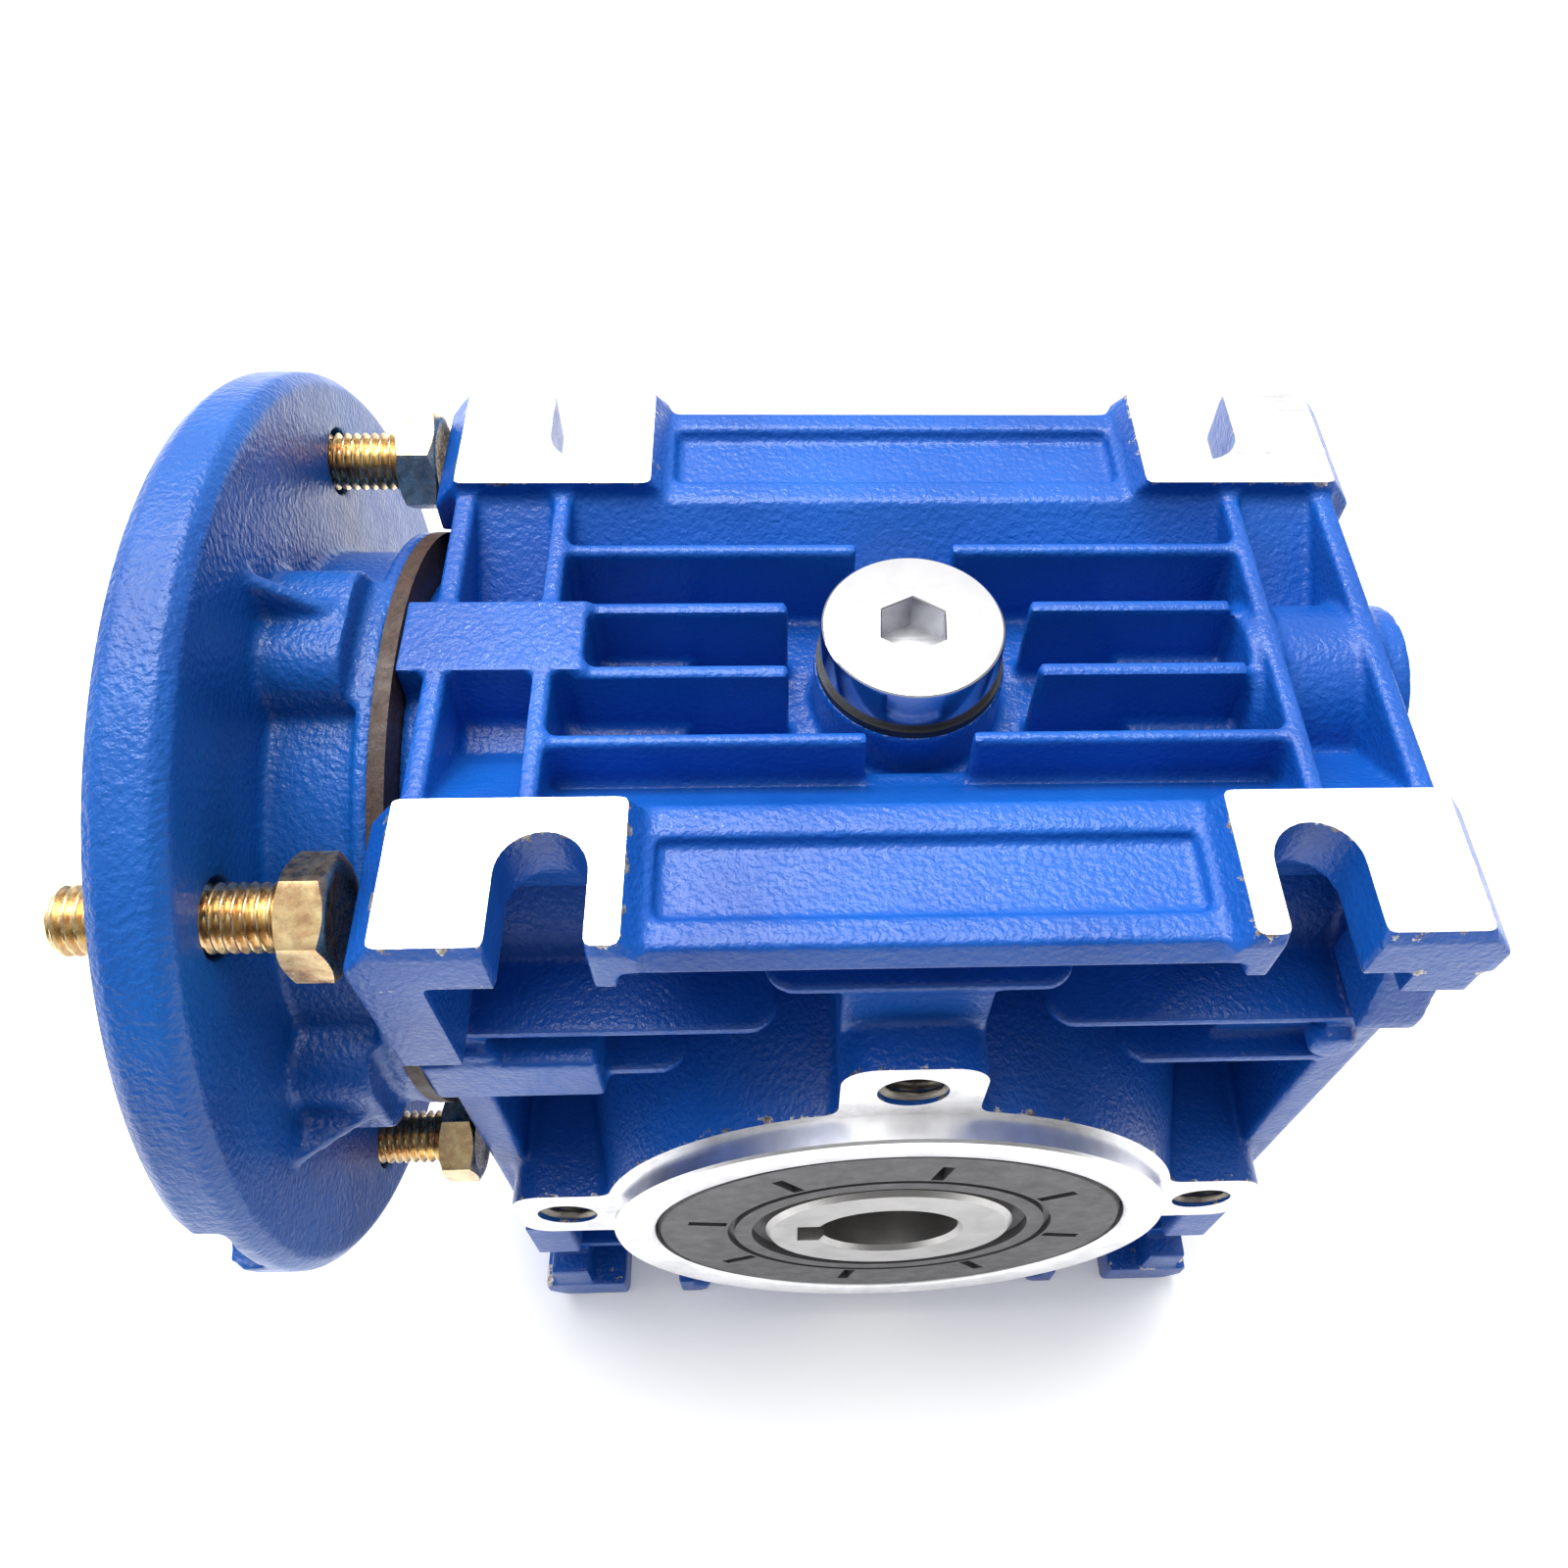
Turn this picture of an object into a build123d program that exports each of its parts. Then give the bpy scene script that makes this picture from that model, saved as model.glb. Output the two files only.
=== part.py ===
"""Size 030 hollow-shaft worm gearbox with a B14 input flange, modelled piece by piece.

X runs along the worm axis (the motor side is -X), Y along the output axis, Z is up.
The origin is the middle of the output bore. All lengths are millimetres.
"""
from build123d import *

import os
from collections import namedtuple
from math import acos, cos, pi, radians, sin, sqrt, tan

# ---------------------------------------------------------------- driving dimensions
centre_distance = 30.0      # output axis to worm axis
half_length = 40.0          # body, output axis to either end
foot_reach = 28.0           # middle plane to the front of the feet
top_face = 57.0
base_face = -40.0
motor_face = -55.0          # where the motor flange seats
shaft_end = 31.5            # middle plane to the ends of the hollow shaft and the pilots
ear_face = 29.0
ear_circle = 32.5           # radius of the circle through the tapped ears
ear_tip = 37.5
pilot_radius = 27.5
motor_circle = 32.5         # radius of the motor bolt circle
slot_spacing_x = 54.0
slot_spacing_y = 44.0
slot_width = 6.5

# gearing
wheel_teeth = 30
axial_module = 1.44
worm_pitch_radius = 8.4
wheel_pitch_radius = centre_distance - worm_pitch_radius
worm_lead = pi * axial_module
tooth_gap = 0.29            # clearance between a tip and the root it runs in
worm_tip_radius = worm_pitch_radius + axial_module
wheel_tip_radius = wheel_pitch_radius + axial_module
worm_root_radius = centre_distance - wheel_tip_radius - tooth_gap
wheel_root_radius = centre_distance - worm_tip_radius - tooth_gap
thread_thickness = 1.95     # worm thread at its pitch radius
wheel_tooth_thickness = 2.1
pressure_angle = radians(20)
wheel_half_face = 6.5

# fits
running_gap = 0.05
ball_gap = 0.05

# output side
output_shaft_radius = 12.5
output_bore_radius = 7.0
output_seat_radius = 23.5   # bearing and seal bore
hub_radius = 16.5
hub_half_width = 8.0
shaft_shoulder_radius = 14.6
case_radius = 31.0
case_half_width = 17.0
boss_radius = 28.3          # front boss at the ear face
cavity_radius = 25.5
cover_spigot_radius = 26.5
cover_face = 17.0           # where the cover seats on the housing
cover_flange_radius = 30.0
cover_flange_thickness = 4.0
cover_lobe_radius = 4.2
cover_screw_circle = 33.0
cover_screw_angles = (25, 155, 225, 315)
cover_screw_places = [(cover_screw_circle * cos(radians(a)), cover_screw_circle * sin(radians(a)))
                      for a in cover_screw_angles]

# worm side
worm_seat_radius = 16.0     # both worm bearings and the input seal
worm_case_radius = 19.5
worm_tunnel_radius = 12.5
input_shaft_radius = 10.0
input_bore_radius = 4.5
rear_journal_radius = 6.0
flange_radius = 40.0
flange_thickness = 5.4
spigot_radius = 25.0
neck_radius = 24.5
neck_bore_radius = 14.0
flange_screw_circle = 19.6
register_radius = 26.3
seat_ring_radius = 22.8
gasket_thickness = 1.3

# housing casting
end_wall_inner = 36.1
end_wall_outer = 39.5
end_wall_reach = 25.0
foot_inner_x = 21.8
foot_inner_y = 15.9
foot_thickness = 5.7
rib_drop = 1.2              # rib tops below the foot faces
rail_drop = 1.8
rail_thickness = 2.4
fin_thickness = 1.2

output_line = (Plane.YZ, Axis.Y)
worm_section = Plane(origin=(0, 0, centre_distance), x_dir=(1, 0, 0), z_dir=(0, -1, 0))
worm_axis = Axis((0, 0, centre_distance), (1, 0, 0))
worm_line = (worm_section, worm_axis)

os.makedirs("parts", exist_ok=True)


# ---------------------------------------------------------------- shared shapes
def across_output(y):
    """Plane square to the output axis, with local axes X and Z, facing -Y."""
    return Plane(origin=(0, y, 0), x_dir=(1, 0, 0), z_dir=(0, -1, 0))


def across_worm(x):
    """Plane square to the worm axis, with local axes Y and Z, centred on the worm, facing +X."""
    return Plane(origin=(x, 0, centre_distance), x_dir=(0, 1, 0), z_dir=(1, 0, 0))


def save(builder, name):
    """Label one finished piece and write its STEP file."""
    builder.part.label = name
    export_step(builder.part, f"parts/{name}.step")


def polygon(plane, points):
    """A flat face on the plane, through the points in order."""
    with BuildSketch(plane) as face:
        with BuildLine():
            Polyline(*points, close=True)
        make_face()
    return face.sketch


def turn(line, outline, mode=Mode.ADD):
    """Add or cut a turned shape. The outline is (distance along the axis, radius) points."""
    plane, axis = line
    revolve(polygon(plane, outline), axis=axis, mode=mode)


def ring(line, start, end, inner, outer, mode=Mode.ADD):
    """Add or cut a plain ring, or a disc where inner is 0."""
    turn(line, [(start, inner), (end, inner), (end, outer), (start, outer)], mode)


def groove(line, centre, pitch_radius, groove_radius):
    """Cut the round groove that a bearing's balls or an O-ring sit in."""
    plane, axis = line
    with BuildSketch(plane) as section:
        with Locations((centre, pitch_radius)):
            Circle(groove_radius)
    revolve(section.sketch, axis=axis, mode=Mode.SUBTRACT)


def block(x_span, y_span, z_span, mode=Mode.ADD):
    """Add or cut a box given by its extent along each axis."""
    spans = (x_span, y_span, z_span)
    middle = [(low + high) / 2 for low, high in spans]
    sizes = [abs(high - low) for low, high in spans]
    with Locations(tuple(middle)):
        Box(*sizes, mode=mode)


def mirrored(span, side):
    """The same span on the positive side (1) or the negative side (-1) of zero."""
    return tuple(sorted((side * span[0], side * span[1])))


# ---------------------------------------------------------------- housing
wheel_cavity_front = -14.8
front_bearing = (-23.5, -15.5)
lip_thickness = 0.8
lip_radius = 21.8
rear_bearing_start = 22.0
rear_bearing_end = 32.0
input_bearing_start = -31.4
input_bearing_end = -24.4
input_seal = (-39.2, -33.2)
rear_cap = (35.0, 39.3)
circlip_thickness = 1.2
circlip_depth = 0.9
ear_width = 12.0
ear_corner = 3.0
ear_root_radius = 25.5
ear_fillet = 1.8
ear_hole_radius = 3.0
far_ear_hole_radius = 2.5   # tapping bore; the front holes are cut at the thread's full diameter
ear_hole_depth = 11.0
screw_radius = 2.0          # M4, cover and flange screws
plug_thread_radius = 5.0
plug_seat = 52.2
plug_boss_radius = 7.8


def ear_outline(disc_radius):
    """Round face with four square ears and a root fillet on both sides of each ear."""
    half = ear_width / 2
    reach = disc_radius + ear_fillet
    centre_x = sqrt(reach ** 2 - (half + ear_fillet) ** 2)
    with BuildSketch(Plane.XY, mode=Mode.PRIVATE) as outline:
        Circle(disc_radius)
        with PolarLocations((ear_root_radius + ear_tip) / 2, 4):
            RectangleRounded(ear_tip - ear_root_radius, ear_width, ear_corner)
        for side in (-1, 1):
            centre = Vector(centre_x, side * (half + ear_fillet))
            on_ear = Vector(centre_x, side * half)
            on_disc = centre * (disc_radius / reach)
            inward = (on_ear - centre).normalized() + (on_disc - centre).normalized()
            middle = centre + inward.normalized() * ear_fillet
            inside = Vector(disc_radius - 3, side * (half - 1))
            for quarter in range(4):
                start, through, end, corner = (
                    p.rotate(Axis.Z, 90 * quarter) for p in (on_ear, middle, on_disc, inside))
                with BuildLine():
                    ThreePointArc(start, through, end)
                    Line(end, corner)
                    Line(corner, start)
                make_face()
    return outline.sketch


def ear_holes(face_y, towards, radius):
    """Cut the four tapped holes in from the ear face; towards is +1 into +Y, -1 into -Y."""
    with BuildSketch(across_output(face_y)) as holes:
        with PolarLocations(ear_circle, 4):
            Circle(radius)
    extrude(holes.sketch, amount=-towards * ear_hole_depth, mode=Mode.SUBTRACT)


def deck(face, up):
    """Feet, rails, floor and ribs of the top (up is 1) or base (up is -1)."""
    def level(depth):
        return face - up * depth

    # floor, stepped and then sloping up to the rails
    floor_depth = 10.0
    outer_floor_depth = 7.0
    deck_depth = 13.0
    inner_rib_y = 3.25
    outer_rib_y = 9.75
    rib = 1.2
    block((-end_wall_inner, end_wall_inner), (-foot_inner_y, foot_inner_y),
          (level(deck_depth), level(floor_depth)))
    for side in (-1, 1):
        slope = [(outer_rib_y - rib / 2, floor_depth + 0.5), (outer_rib_y - rib / 2, outer_floor_depth),
                 (10.8, outer_floor_depth - 0.2), (15.6, rail_drop), (foot_inner_y + 0.5, rail_drop),
                 (foot_inner_y + 0.5, floor_depth + 0.5)]
        extrude(polygon(Plane.YZ, [(side * y, level(depth)) for y, depth in slope]),
                amount=end_wall_inner, both=True)
        # longer slopes in the pockets at both ends
        end_slope = [(4.5, floor_depth + 0.5), (4.5, floor_depth - 0.2), (15.0, rail_drop + 0.4),
                     (foot_inner_y + 0.5, rail_drop + 0.4), (foot_inner_y + 0.5, floor_depth + 0.5)]
        for x in (-32.5, 32.5):
            extrude(polygon(Plane.YZ.offset(x), [(side * y, level(depth)) for y, depth in end_slope]),
                    amount=end_wall_inner - 32.5, both=True)
        # rail between the feet, leaning out towards its lower edge, with its shallow panel
        rail = [(foot_inner_y, rail_drop), (foot_reach - 1.0, rail_drop),
                (foot_reach - 0.3, rail_drop + rail_thickness), (foot_inner_y, rail_drop + rail_thickness)]
        extrude(polygon(Plane.YZ, [(side * y, level(depth)) for y, depth in rail]),
                amount=foot_inner_x, both=True)
        block((-19.5, 19.5), mirrored((18.2, 24.6), side), (level(0), level(rail_drop + 1.1)),
              mode=Mode.SUBTRACT)
        # longitudinal ribs stop short of the round boss in the middle
        for rib_y, ends in ((inner_rib_y, (9.8, 26.4)), (outer_rib_y, (4.0, 28.8))):
            for end in (-1, 1):
                block(mirrored(ends, end), (side * rib_y - rib / 2, side * rib_y + rib / 2),
                      (level(rib_drop + 0.3), level(floor_depth + 0.5)))
    # cross ribs between the feet
    for x in (-28.8, 28.8):
        block((x - 0.75, x + 0.75), (-foot_inner_y - 0.5, foot_inner_y + 0.5),
              (level(rib_drop), level(floor_depth + 0.5)))
    # four feet with sloping outer edges
    for end in (-1, 1):
        outline = [(foot_inner_x, 0), (37.3, 0), (half_length, 2.7), (half_length, foot_thickness),
                   (foot_inner_x, foot_thickness)]
        for side in (-1, 1):
            middle = Plane.XZ.offset(-side * (foot_inner_y + foot_reach) / 2)
            extrude(polygon(middle, [(end * x, level(depth)) for x, depth in outline]),
                    amount=(foot_reach - foot_inner_y) / 2, both=True)
            # sloping wall where the foot meets the rail
            wall = [(foot_inner_x - 1.7, rail_drop + 1.8), (foot_inner_x - 1.7, rail_drop),
                    (foot_inner_x, 0), (foot_inner_x + 1, 0), (foot_inner_x + 1, rail_drop + 1.8)]
            extrude(polygon(middle, [(end * x, level(depth)) for x, depth in wall]),
                    amount=(foot_reach - foot_inner_y) / 2, both=True)


def foot_edges(face, up):
    """Bevel the outer edge of the feet and cut their open slots."""
    bevel_y = 0.7
    bevel_z = 1.0
    for side in (-1, 1):
        wedge = [(foot_reach - bevel_y, 0), (foot_reach + 1, 0), (foot_reach + 1, bevel_z),
                 (foot_reach, bevel_z)]
        extrude(polygon(Plane.YZ, [(side * y, face - up * depth) for y, depth in wedge]),
                amount=half_length + 1, both=True, mode=Mode.SUBTRACT)
    slot_end = slot_spacing_y / 2
    slot_mouth = foot_reach + 1
    with BuildSketch(Plane.XY.offset(face)) as slots:
        for x in (-slot_spacing_x / 2, slot_spacing_x / 2):
            for side in (-1, 1):
                with Locations((x, side * slot_end)):
                    Circle(slot_width / 2)
                with Locations((x, side * (slot_end + slot_mouth) / 2)):
                    Rectangle(slot_width, slot_mouth - slot_end)
    extrude(slots.sketch, amount=-up * (foot_thickness + 0.5), mode=Mode.SUBTRACT)


with BuildPart() as housing:
    # round gear case with its tapering front boss
    turn(output_line, [(-ear_face, 0), (-ear_face, boss_radius), (-case_half_width, case_radius),
                       (case_half_width, case_radius), (case_half_width, 0)])
    # worm case, widened at both ends round the bearings
    ring(worm_line, -half_length + 1, end_wall_outer - 1, 0, 15.5)
    ring(worm_line, -half_length, -18, 0, worm_case_radius)
    ring(worm_line, 18, end_wall_outer, 0, worm_case_radius)
    # web that joins the two cases to the decks
    block((-end_wall_inner - 1, end_wall_inner + 1), (-11, 11), (base_face + 8, top_face - 10.4))
    deck(top_face, 1)
    deck(base_face, -1)
    # end walls, thinning towards the decks
    for end in (-1, 1):
        wall = [(end_wall_inner, base_face + rib_drop), (37.8, base_face + rib_drop),
                (38.2, base_face + 10), (end_wall_outer, base_face + 14), (end_wall_outer, top_face - 14),
                (38.2, top_face - 10), (37.8, top_face - rib_drop), (end_wall_inner, top_face - rib_drop)]
        extrude(polygon(Plane.XZ, [(end * x, z) for x, z in wall]), amount=end_wall_reach, both=True)
    # machined ring that the input flange seats on
    ring(worm_line, -half_length, -half_length + 2, 0, seat_ring_radius)
    # the four input screw bosses are square bars, the four at the rear are round
    bar = 3.5
    bar_end = -25.7
    block((-half_length, bar_end), (-bar, bar), (44, centre_distance + 26.0))
    block((-half_length, bar_end), (-bar, bar), (centre_distance - 26.0, 18))
    for side in (-1, 1):
        block((-half_length, bar_end), mirrored((14, 26.5), side),
              (centre_distance - bar, centre_distance + bar))
    for start_angle, boss_size in ((0, 4.2), (90, 7.0)):
        with BuildSketch(across_worm(27.0)):
            with PolarLocations(18.4, 2, start_angle=start_angle):
                Circle(boss_size)
        extrude(amount=half_length - 27.0)
    # corner columns and lugs under the feet
    for side in (-1, 1):
        block((-half_length, -35.3), mirrored((20, foot_reach), side), (37.6, top_face - 4))
        block((34.3, 39.2), mirrored((20, foot_reach), side), (48.2, top_face - 4))
        column = [(20, 50), (25.4, 50), (27.6, 41.6), (27.6, 40.1), (20, 40.1)]
        extrude(polygon(Plane.YZ.offset(36.6), [(side * y, z) for y, z in column]), amount=2.4, both=True)
        for end in (-1, 1):
            block(mirrored((34.3, 38.7), end), mirrored((20, foot_reach - 0.2), side),
                  (base_face + 4, base_face + 11))
            block(mirrored((34.0, 38.9), end), mirrored((20, 27.3), side), (-21.5, -11.5))
    # horizontal cooling fins, shorter towards the round case
    fin_reach = 25.0
    fin_root = 9.0
    for side in (-1, 1):
        fin_y = side * (fin_reach + fin_root) / 2
        fin_depth = fin_reach - fin_root
        with BuildSketch(Plane.XY.offset(44.0 - fin_thickness)):
            with Locations((0, fin_y)):
                RectangleRounded(24.0, fin_depth, 2.4)
        extrude(amount=fin_thickness)
        for fin_z, fin_start in ((36.6, 11.0), (28.5, 18.8), (-28.5 + fin_thickness, 18.8)):
            fin_length = end_wall_inner + 2 - fin_start
            with BuildSketch(Plane.XY.offset(fin_z - fin_thickness)):
                with Locations((fin_start + fin_length / 2, fin_y), (-fin_start - fin_length / 2, fin_y)):
                    RectangleRounded(fin_length, fin_depth, 2.4)
            extrude(amount=fin_thickness)
        # column behind the top ear
        block((-6, 6), mirrored((10, 24.8 if side < 0 else 16.8), side), (30, 44))
    with BuildSketch(Plane.XY.offset(24.8 - fin_thickness)):
        with Locations((30.5, -(22.5 + fin_root) / 2)):
            RectangleRounded(12.0, 22.5 - fin_root, 2.0)
    extrude(amount=fin_thickness)
    # round pads on the front edges of the end walls
    for x in (-35.4, 35.4):
        with BuildSketch(across_output(-24.0)):
            with Locations((x, 33.0)):
                Circle(2.0)
        extrude(amount=2.2)
    # front ears and pilot
    with BuildSketch(across_output(-case_half_width + 3)):
        add(ear_outline(boss_radius))
    extrude(amount=ear_face - case_half_width + 3)
    ring(output_line, -shaft_end, -ear_face, 0, pilot_radius)
    # seat and screw bosses for the cover
    with BuildSketch(across_output(case_half_width)):
        with Locations(*cover_screw_places):
            Circle(cover_lobe_radius)
    extrude(amount=case_half_width)
    # round boss for the oil plug
    with BuildSketch(Plane.XY.offset(40)):
        Circle(plug_boss_radius)
    extrude(amount=plug_seat - 40)

    # cuts: feet, room for the cover, gear cavity, bores and threads
    foot_edges(top_face, 1)
    foot_edges(base_face, -1)
    with BuildSketch(across_output(cover_face)):
        Circle(cover_flange_radius + 0.5)
        with PolarLocations((ear_root_radius + ear_tip) / 2, 4):
            Rectangle(ear_tip - ear_root_radius + 1.4, ear_width + 1.4)
        with Locations(*cover_screw_places):
            Circle(cover_lobe_radius + 1.0)
    extrude(amount=-(ear_face - cover_face), mode=Mode.SUBTRACT)
    ring(output_line, wheel_cavity_front, cover_face + 1, 0, cavity_radius, mode=Mode.SUBTRACT)
    ring(output_line, 12.5, cover_face + 1, 0, cover_spigot_radius, mode=Mode.SUBTRACT)
    ring(output_line, front_bearing[0], -14, 0, output_seat_radius, mode=Mode.SUBTRACT)
    ring(output_line, -shaft_end - 1, -14, 0, lip_radius, mode=Mode.SUBTRACT)
    turn(output_line, [(-shaft_end - 1, 0), (-shaft_end - 1, output_seat_radius + 1.6),
                       (-shaft_end + 0.6, output_seat_radius), (front_bearing[0] - lip_thickness,
                       output_seat_radius), (front_bearing[0] - lip_thickness, 0)], mode=Mode.SUBTRACT)
    ring(worm_line, -half_length - 1, input_bearing_end, 0, worm_seat_radius, mode=Mode.SUBTRACT)
    ring(worm_line, rear_bearing_start, half_length + 1, 0, worm_seat_radius, mode=Mode.SUBTRACT)
    ring(worm_line, input_bearing_end - 1, rear_bearing_start + 1, 0, worm_tunnel_radius,
         mode=Mode.SUBTRACT)
    for circlip_start in (input_bearing_start - circlip_thickness, rear_bearing_end):
        ring(worm_line, circlip_start, circlip_start + circlip_thickness, 0,
             worm_seat_radius + circlip_depth, mode=Mode.SUBTRACT)
    ear_holes(-ear_face, 1, ear_hole_radius)
    with BuildSketch(across_output(cover_face + 1)):
        with Locations(*cover_screw_places):
            Circle(screw_radius + running_gap)
    extrude(amount=8.5, mode=Mode.SUBTRACT)
    with BuildSketch(across_worm(-half_length - 1)):
        with PolarLocations(flange_screw_circle, 4):
            Circle(screw_radius + running_gap)
    extrude(amount=8.5, mode=Mode.SUBTRACT)
    with BuildSketch(Plane.XY.offset(plug_seat + 1)):
        Circle(plug_thread_radius + running_gap)
    extrude(amount=-12, mode=Mode.SUBTRACT)
save(housing, "housing")


# ---------------------------------------------------------------- cover on the far side
cover_hub_radius = 28.8
cover_ring_start = 12.9
ring_groove = (14.2, 16.2)
ring_groove_radius = 25.0
cover_screw_head = 3.5      # M4 cap screw head, radius
cover_screw_height = 4.0
hex_key_m4 = 3.0

with BuildPart() as output_cover:
    spigot = cover_spigot_radius - running_gap
    flange_back = cover_face + cover_flange_thickness
    turn(output_line, [(cover_ring_start, 0), (cover_ring_start, spigot), (cover_face, spigot),
                       (cover_face, cover_flange_radius), (flange_back, cover_flange_radius),
                       (flange_back, cover_hub_radius), (ear_face, boss_radius),
                       (ear_face, pilot_radius), (shaft_end, pilot_radius), (shaft_end, 0)])
    with BuildSketch(across_output(cover_face)):
        add(ear_outline(boss_radius))
    extrude(amount=cover_face - ear_face)
    with BuildSketch(across_output(cover_face)):
        with Locations(*cover_screw_places):
            Circle(cover_lobe_radius)
    extrude(amount=-cover_flange_thickness)
    ring(output_line, cover_ring_start - 1, 23.5, 0, output_seat_radius, mode=Mode.SUBTRACT)
    ring(output_line, 23, 25, 0, lip_radius, mode=Mode.SUBTRACT)
    turn(output_line, [(shaft_end + 1, 0), (shaft_end + 1, output_seat_radius + 1.6),
                       (shaft_end - 0.6, output_seat_radius),
                       (23.5 + lip_thickness, output_seat_radius), (23.5 + lip_thickness, 0)],
         mode=Mode.SUBTRACT)
    ring(output_line, ring_groove[0], ring_groove[1], ring_groove_radius, cover_spigot_radius + 1,
         mode=Mode.SUBTRACT)
    ear_holes(ear_face, -1, far_ear_hole_radius)
    with BuildSketch(across_output(cover_face - 1)):
        with Locations(*cover_screw_places):
            Circle(screw_radius + running_gap)
    extrude(amount=-cover_flange_thickness - 2, mode=Mode.SUBTRACT)
save(output_cover, "output_cover")

with BuildPart() as cover_screws:
    head_seat = cover_face + cover_flange_thickness
    with BuildSketch(across_output(head_seat)):
        with Locations(*cover_screw_places):
            Circle(cover_screw_head)
    extrude(amount=-cover_screw_height)
    with BuildSketch(across_output(head_seat)):
        with Locations(*cover_screw_places):
            Circle(screw_radius)
    extrude(amount=head_seat - 10.5)
    with BuildSketch(across_output(head_seat + cover_screw_height)):
        with Locations(*cover_screw_places):
            RegularPolygon(hex_key_m4 / 2, 6, major_radius=False)
    extrude(amount=2, mode=Mode.SUBTRACT)
save(cover_screws, "cover_screws")

with BuildPart() as cover_o_ring:
    o_ring_centre = (ring_groove[0] + ring_groove[1]) / 2
    with BuildSketch(output_line[0]):
        with Locations((o_ring_centre, ring_groove_radius + 0.73)):
            Circle(0.72)
    revolve(axis=output_line[1])
save(cover_o_ring, "cover_o_ring")


# ---------------------------------------------------------------- output shaft and wheel
key_width = 5.0
key_depth = 9.3             # bore axis to the bottom of the keyway
end_chamfer = 0.5

with BuildPart() as output_hollow_shaft:
    seat = front_bearing[1]
    profile = [(-shaft_end, output_bore_radius + end_chamfer),
               (-shaft_end, output_shaft_radius - end_chamfer),
               (-shaft_end + end_chamfer, output_shaft_radius), (seat, output_shaft_radius),
               (seat, shaft_shoulder_radius), (-hub_half_width, shaft_shoulder_radius),
               (-hub_half_width, hub_radius)]
    bore_start = [(-shaft_end + end_chamfer, output_bore_radius)]
    far_side = [(-y, r) for y, r in reversed(bore_start + profile)]
    turn(output_line, bore_start + profile + far_side)
    block((-key_depth, 0), (-shaft_end - 1, shaft_end + 1), (-key_width / 2, key_width / 2),
          mode=Mode.SUBTRACT)
save(output_hollow_shaft, "output_hollow_shaft")


def involute(angle):
    """Involute function of a pressure angle in radians."""
    return tan(angle) - angle


def tooth_outline(y):
    """Outline of the wheel tooth beside the worm, on the plane at y, leaning with the thread."""
    base_radius = wheel_pitch_radius * cos(pressure_angle)
    lean = y * worm_lead / (2 * pi * worm_pitch_radius) / wheel_pitch_radius
    middle = pi / 2 + pi / wheel_teeth - lean
    pitch_half = wheel_tooth_thickness / 2 / wheel_pitch_radius
    flank = []
    for radius in (wheel_root_radius - 0.4, base_radius, 21.0, wheel_pitch_radius, 22.3, wheel_tip_radius):
        outward = acos(min(1.0, base_radius / radius))
        flank.append((radius, pitch_half + involute(pressure_angle) - involute(outward)))
    right = [(radius * cos(middle - half), radius * sin(middle - half)) for radius, half in flank]
    left = [(radius * cos(middle + half), radius * sin(middle + half)) for radius, half in flank]
    return polygon(across_output(y), right + left[::-1])


with BuildPart() as worm_wheel_rim:
    ring(output_line, -wheel_half_face, wheel_half_face, hub_radius, wheel_root_radius)
    tooth = loft([tooth_outline(-wheel_half_face), tooth_outline(wheel_half_face)], ruled=True,
                 mode=Mode.PRIVATE)
    for step in range(wheel_teeth):
        add(tooth.rotate(Axis.Y, 360 * step / wheel_teeth))
save(worm_wheel_rim, "worm_wheel_rim")


# ---------------------------------------------------------------- worm
worm_shaft_end = -51.2
worm_bore_depth = 22.0
worm_key_width = 3.0
worm_key_depth = 5.9
worm_shoulder_radius = 11.4
worm_neck_radius = 8.0
thread_turns = 5            # odd, so a thread that starts on top is underneath at x = 0
front_circlip = (-32.6, -31.5)
rear_circlip = (32.1, 33.1)
shaft_groove_depth = 0.5

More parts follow.
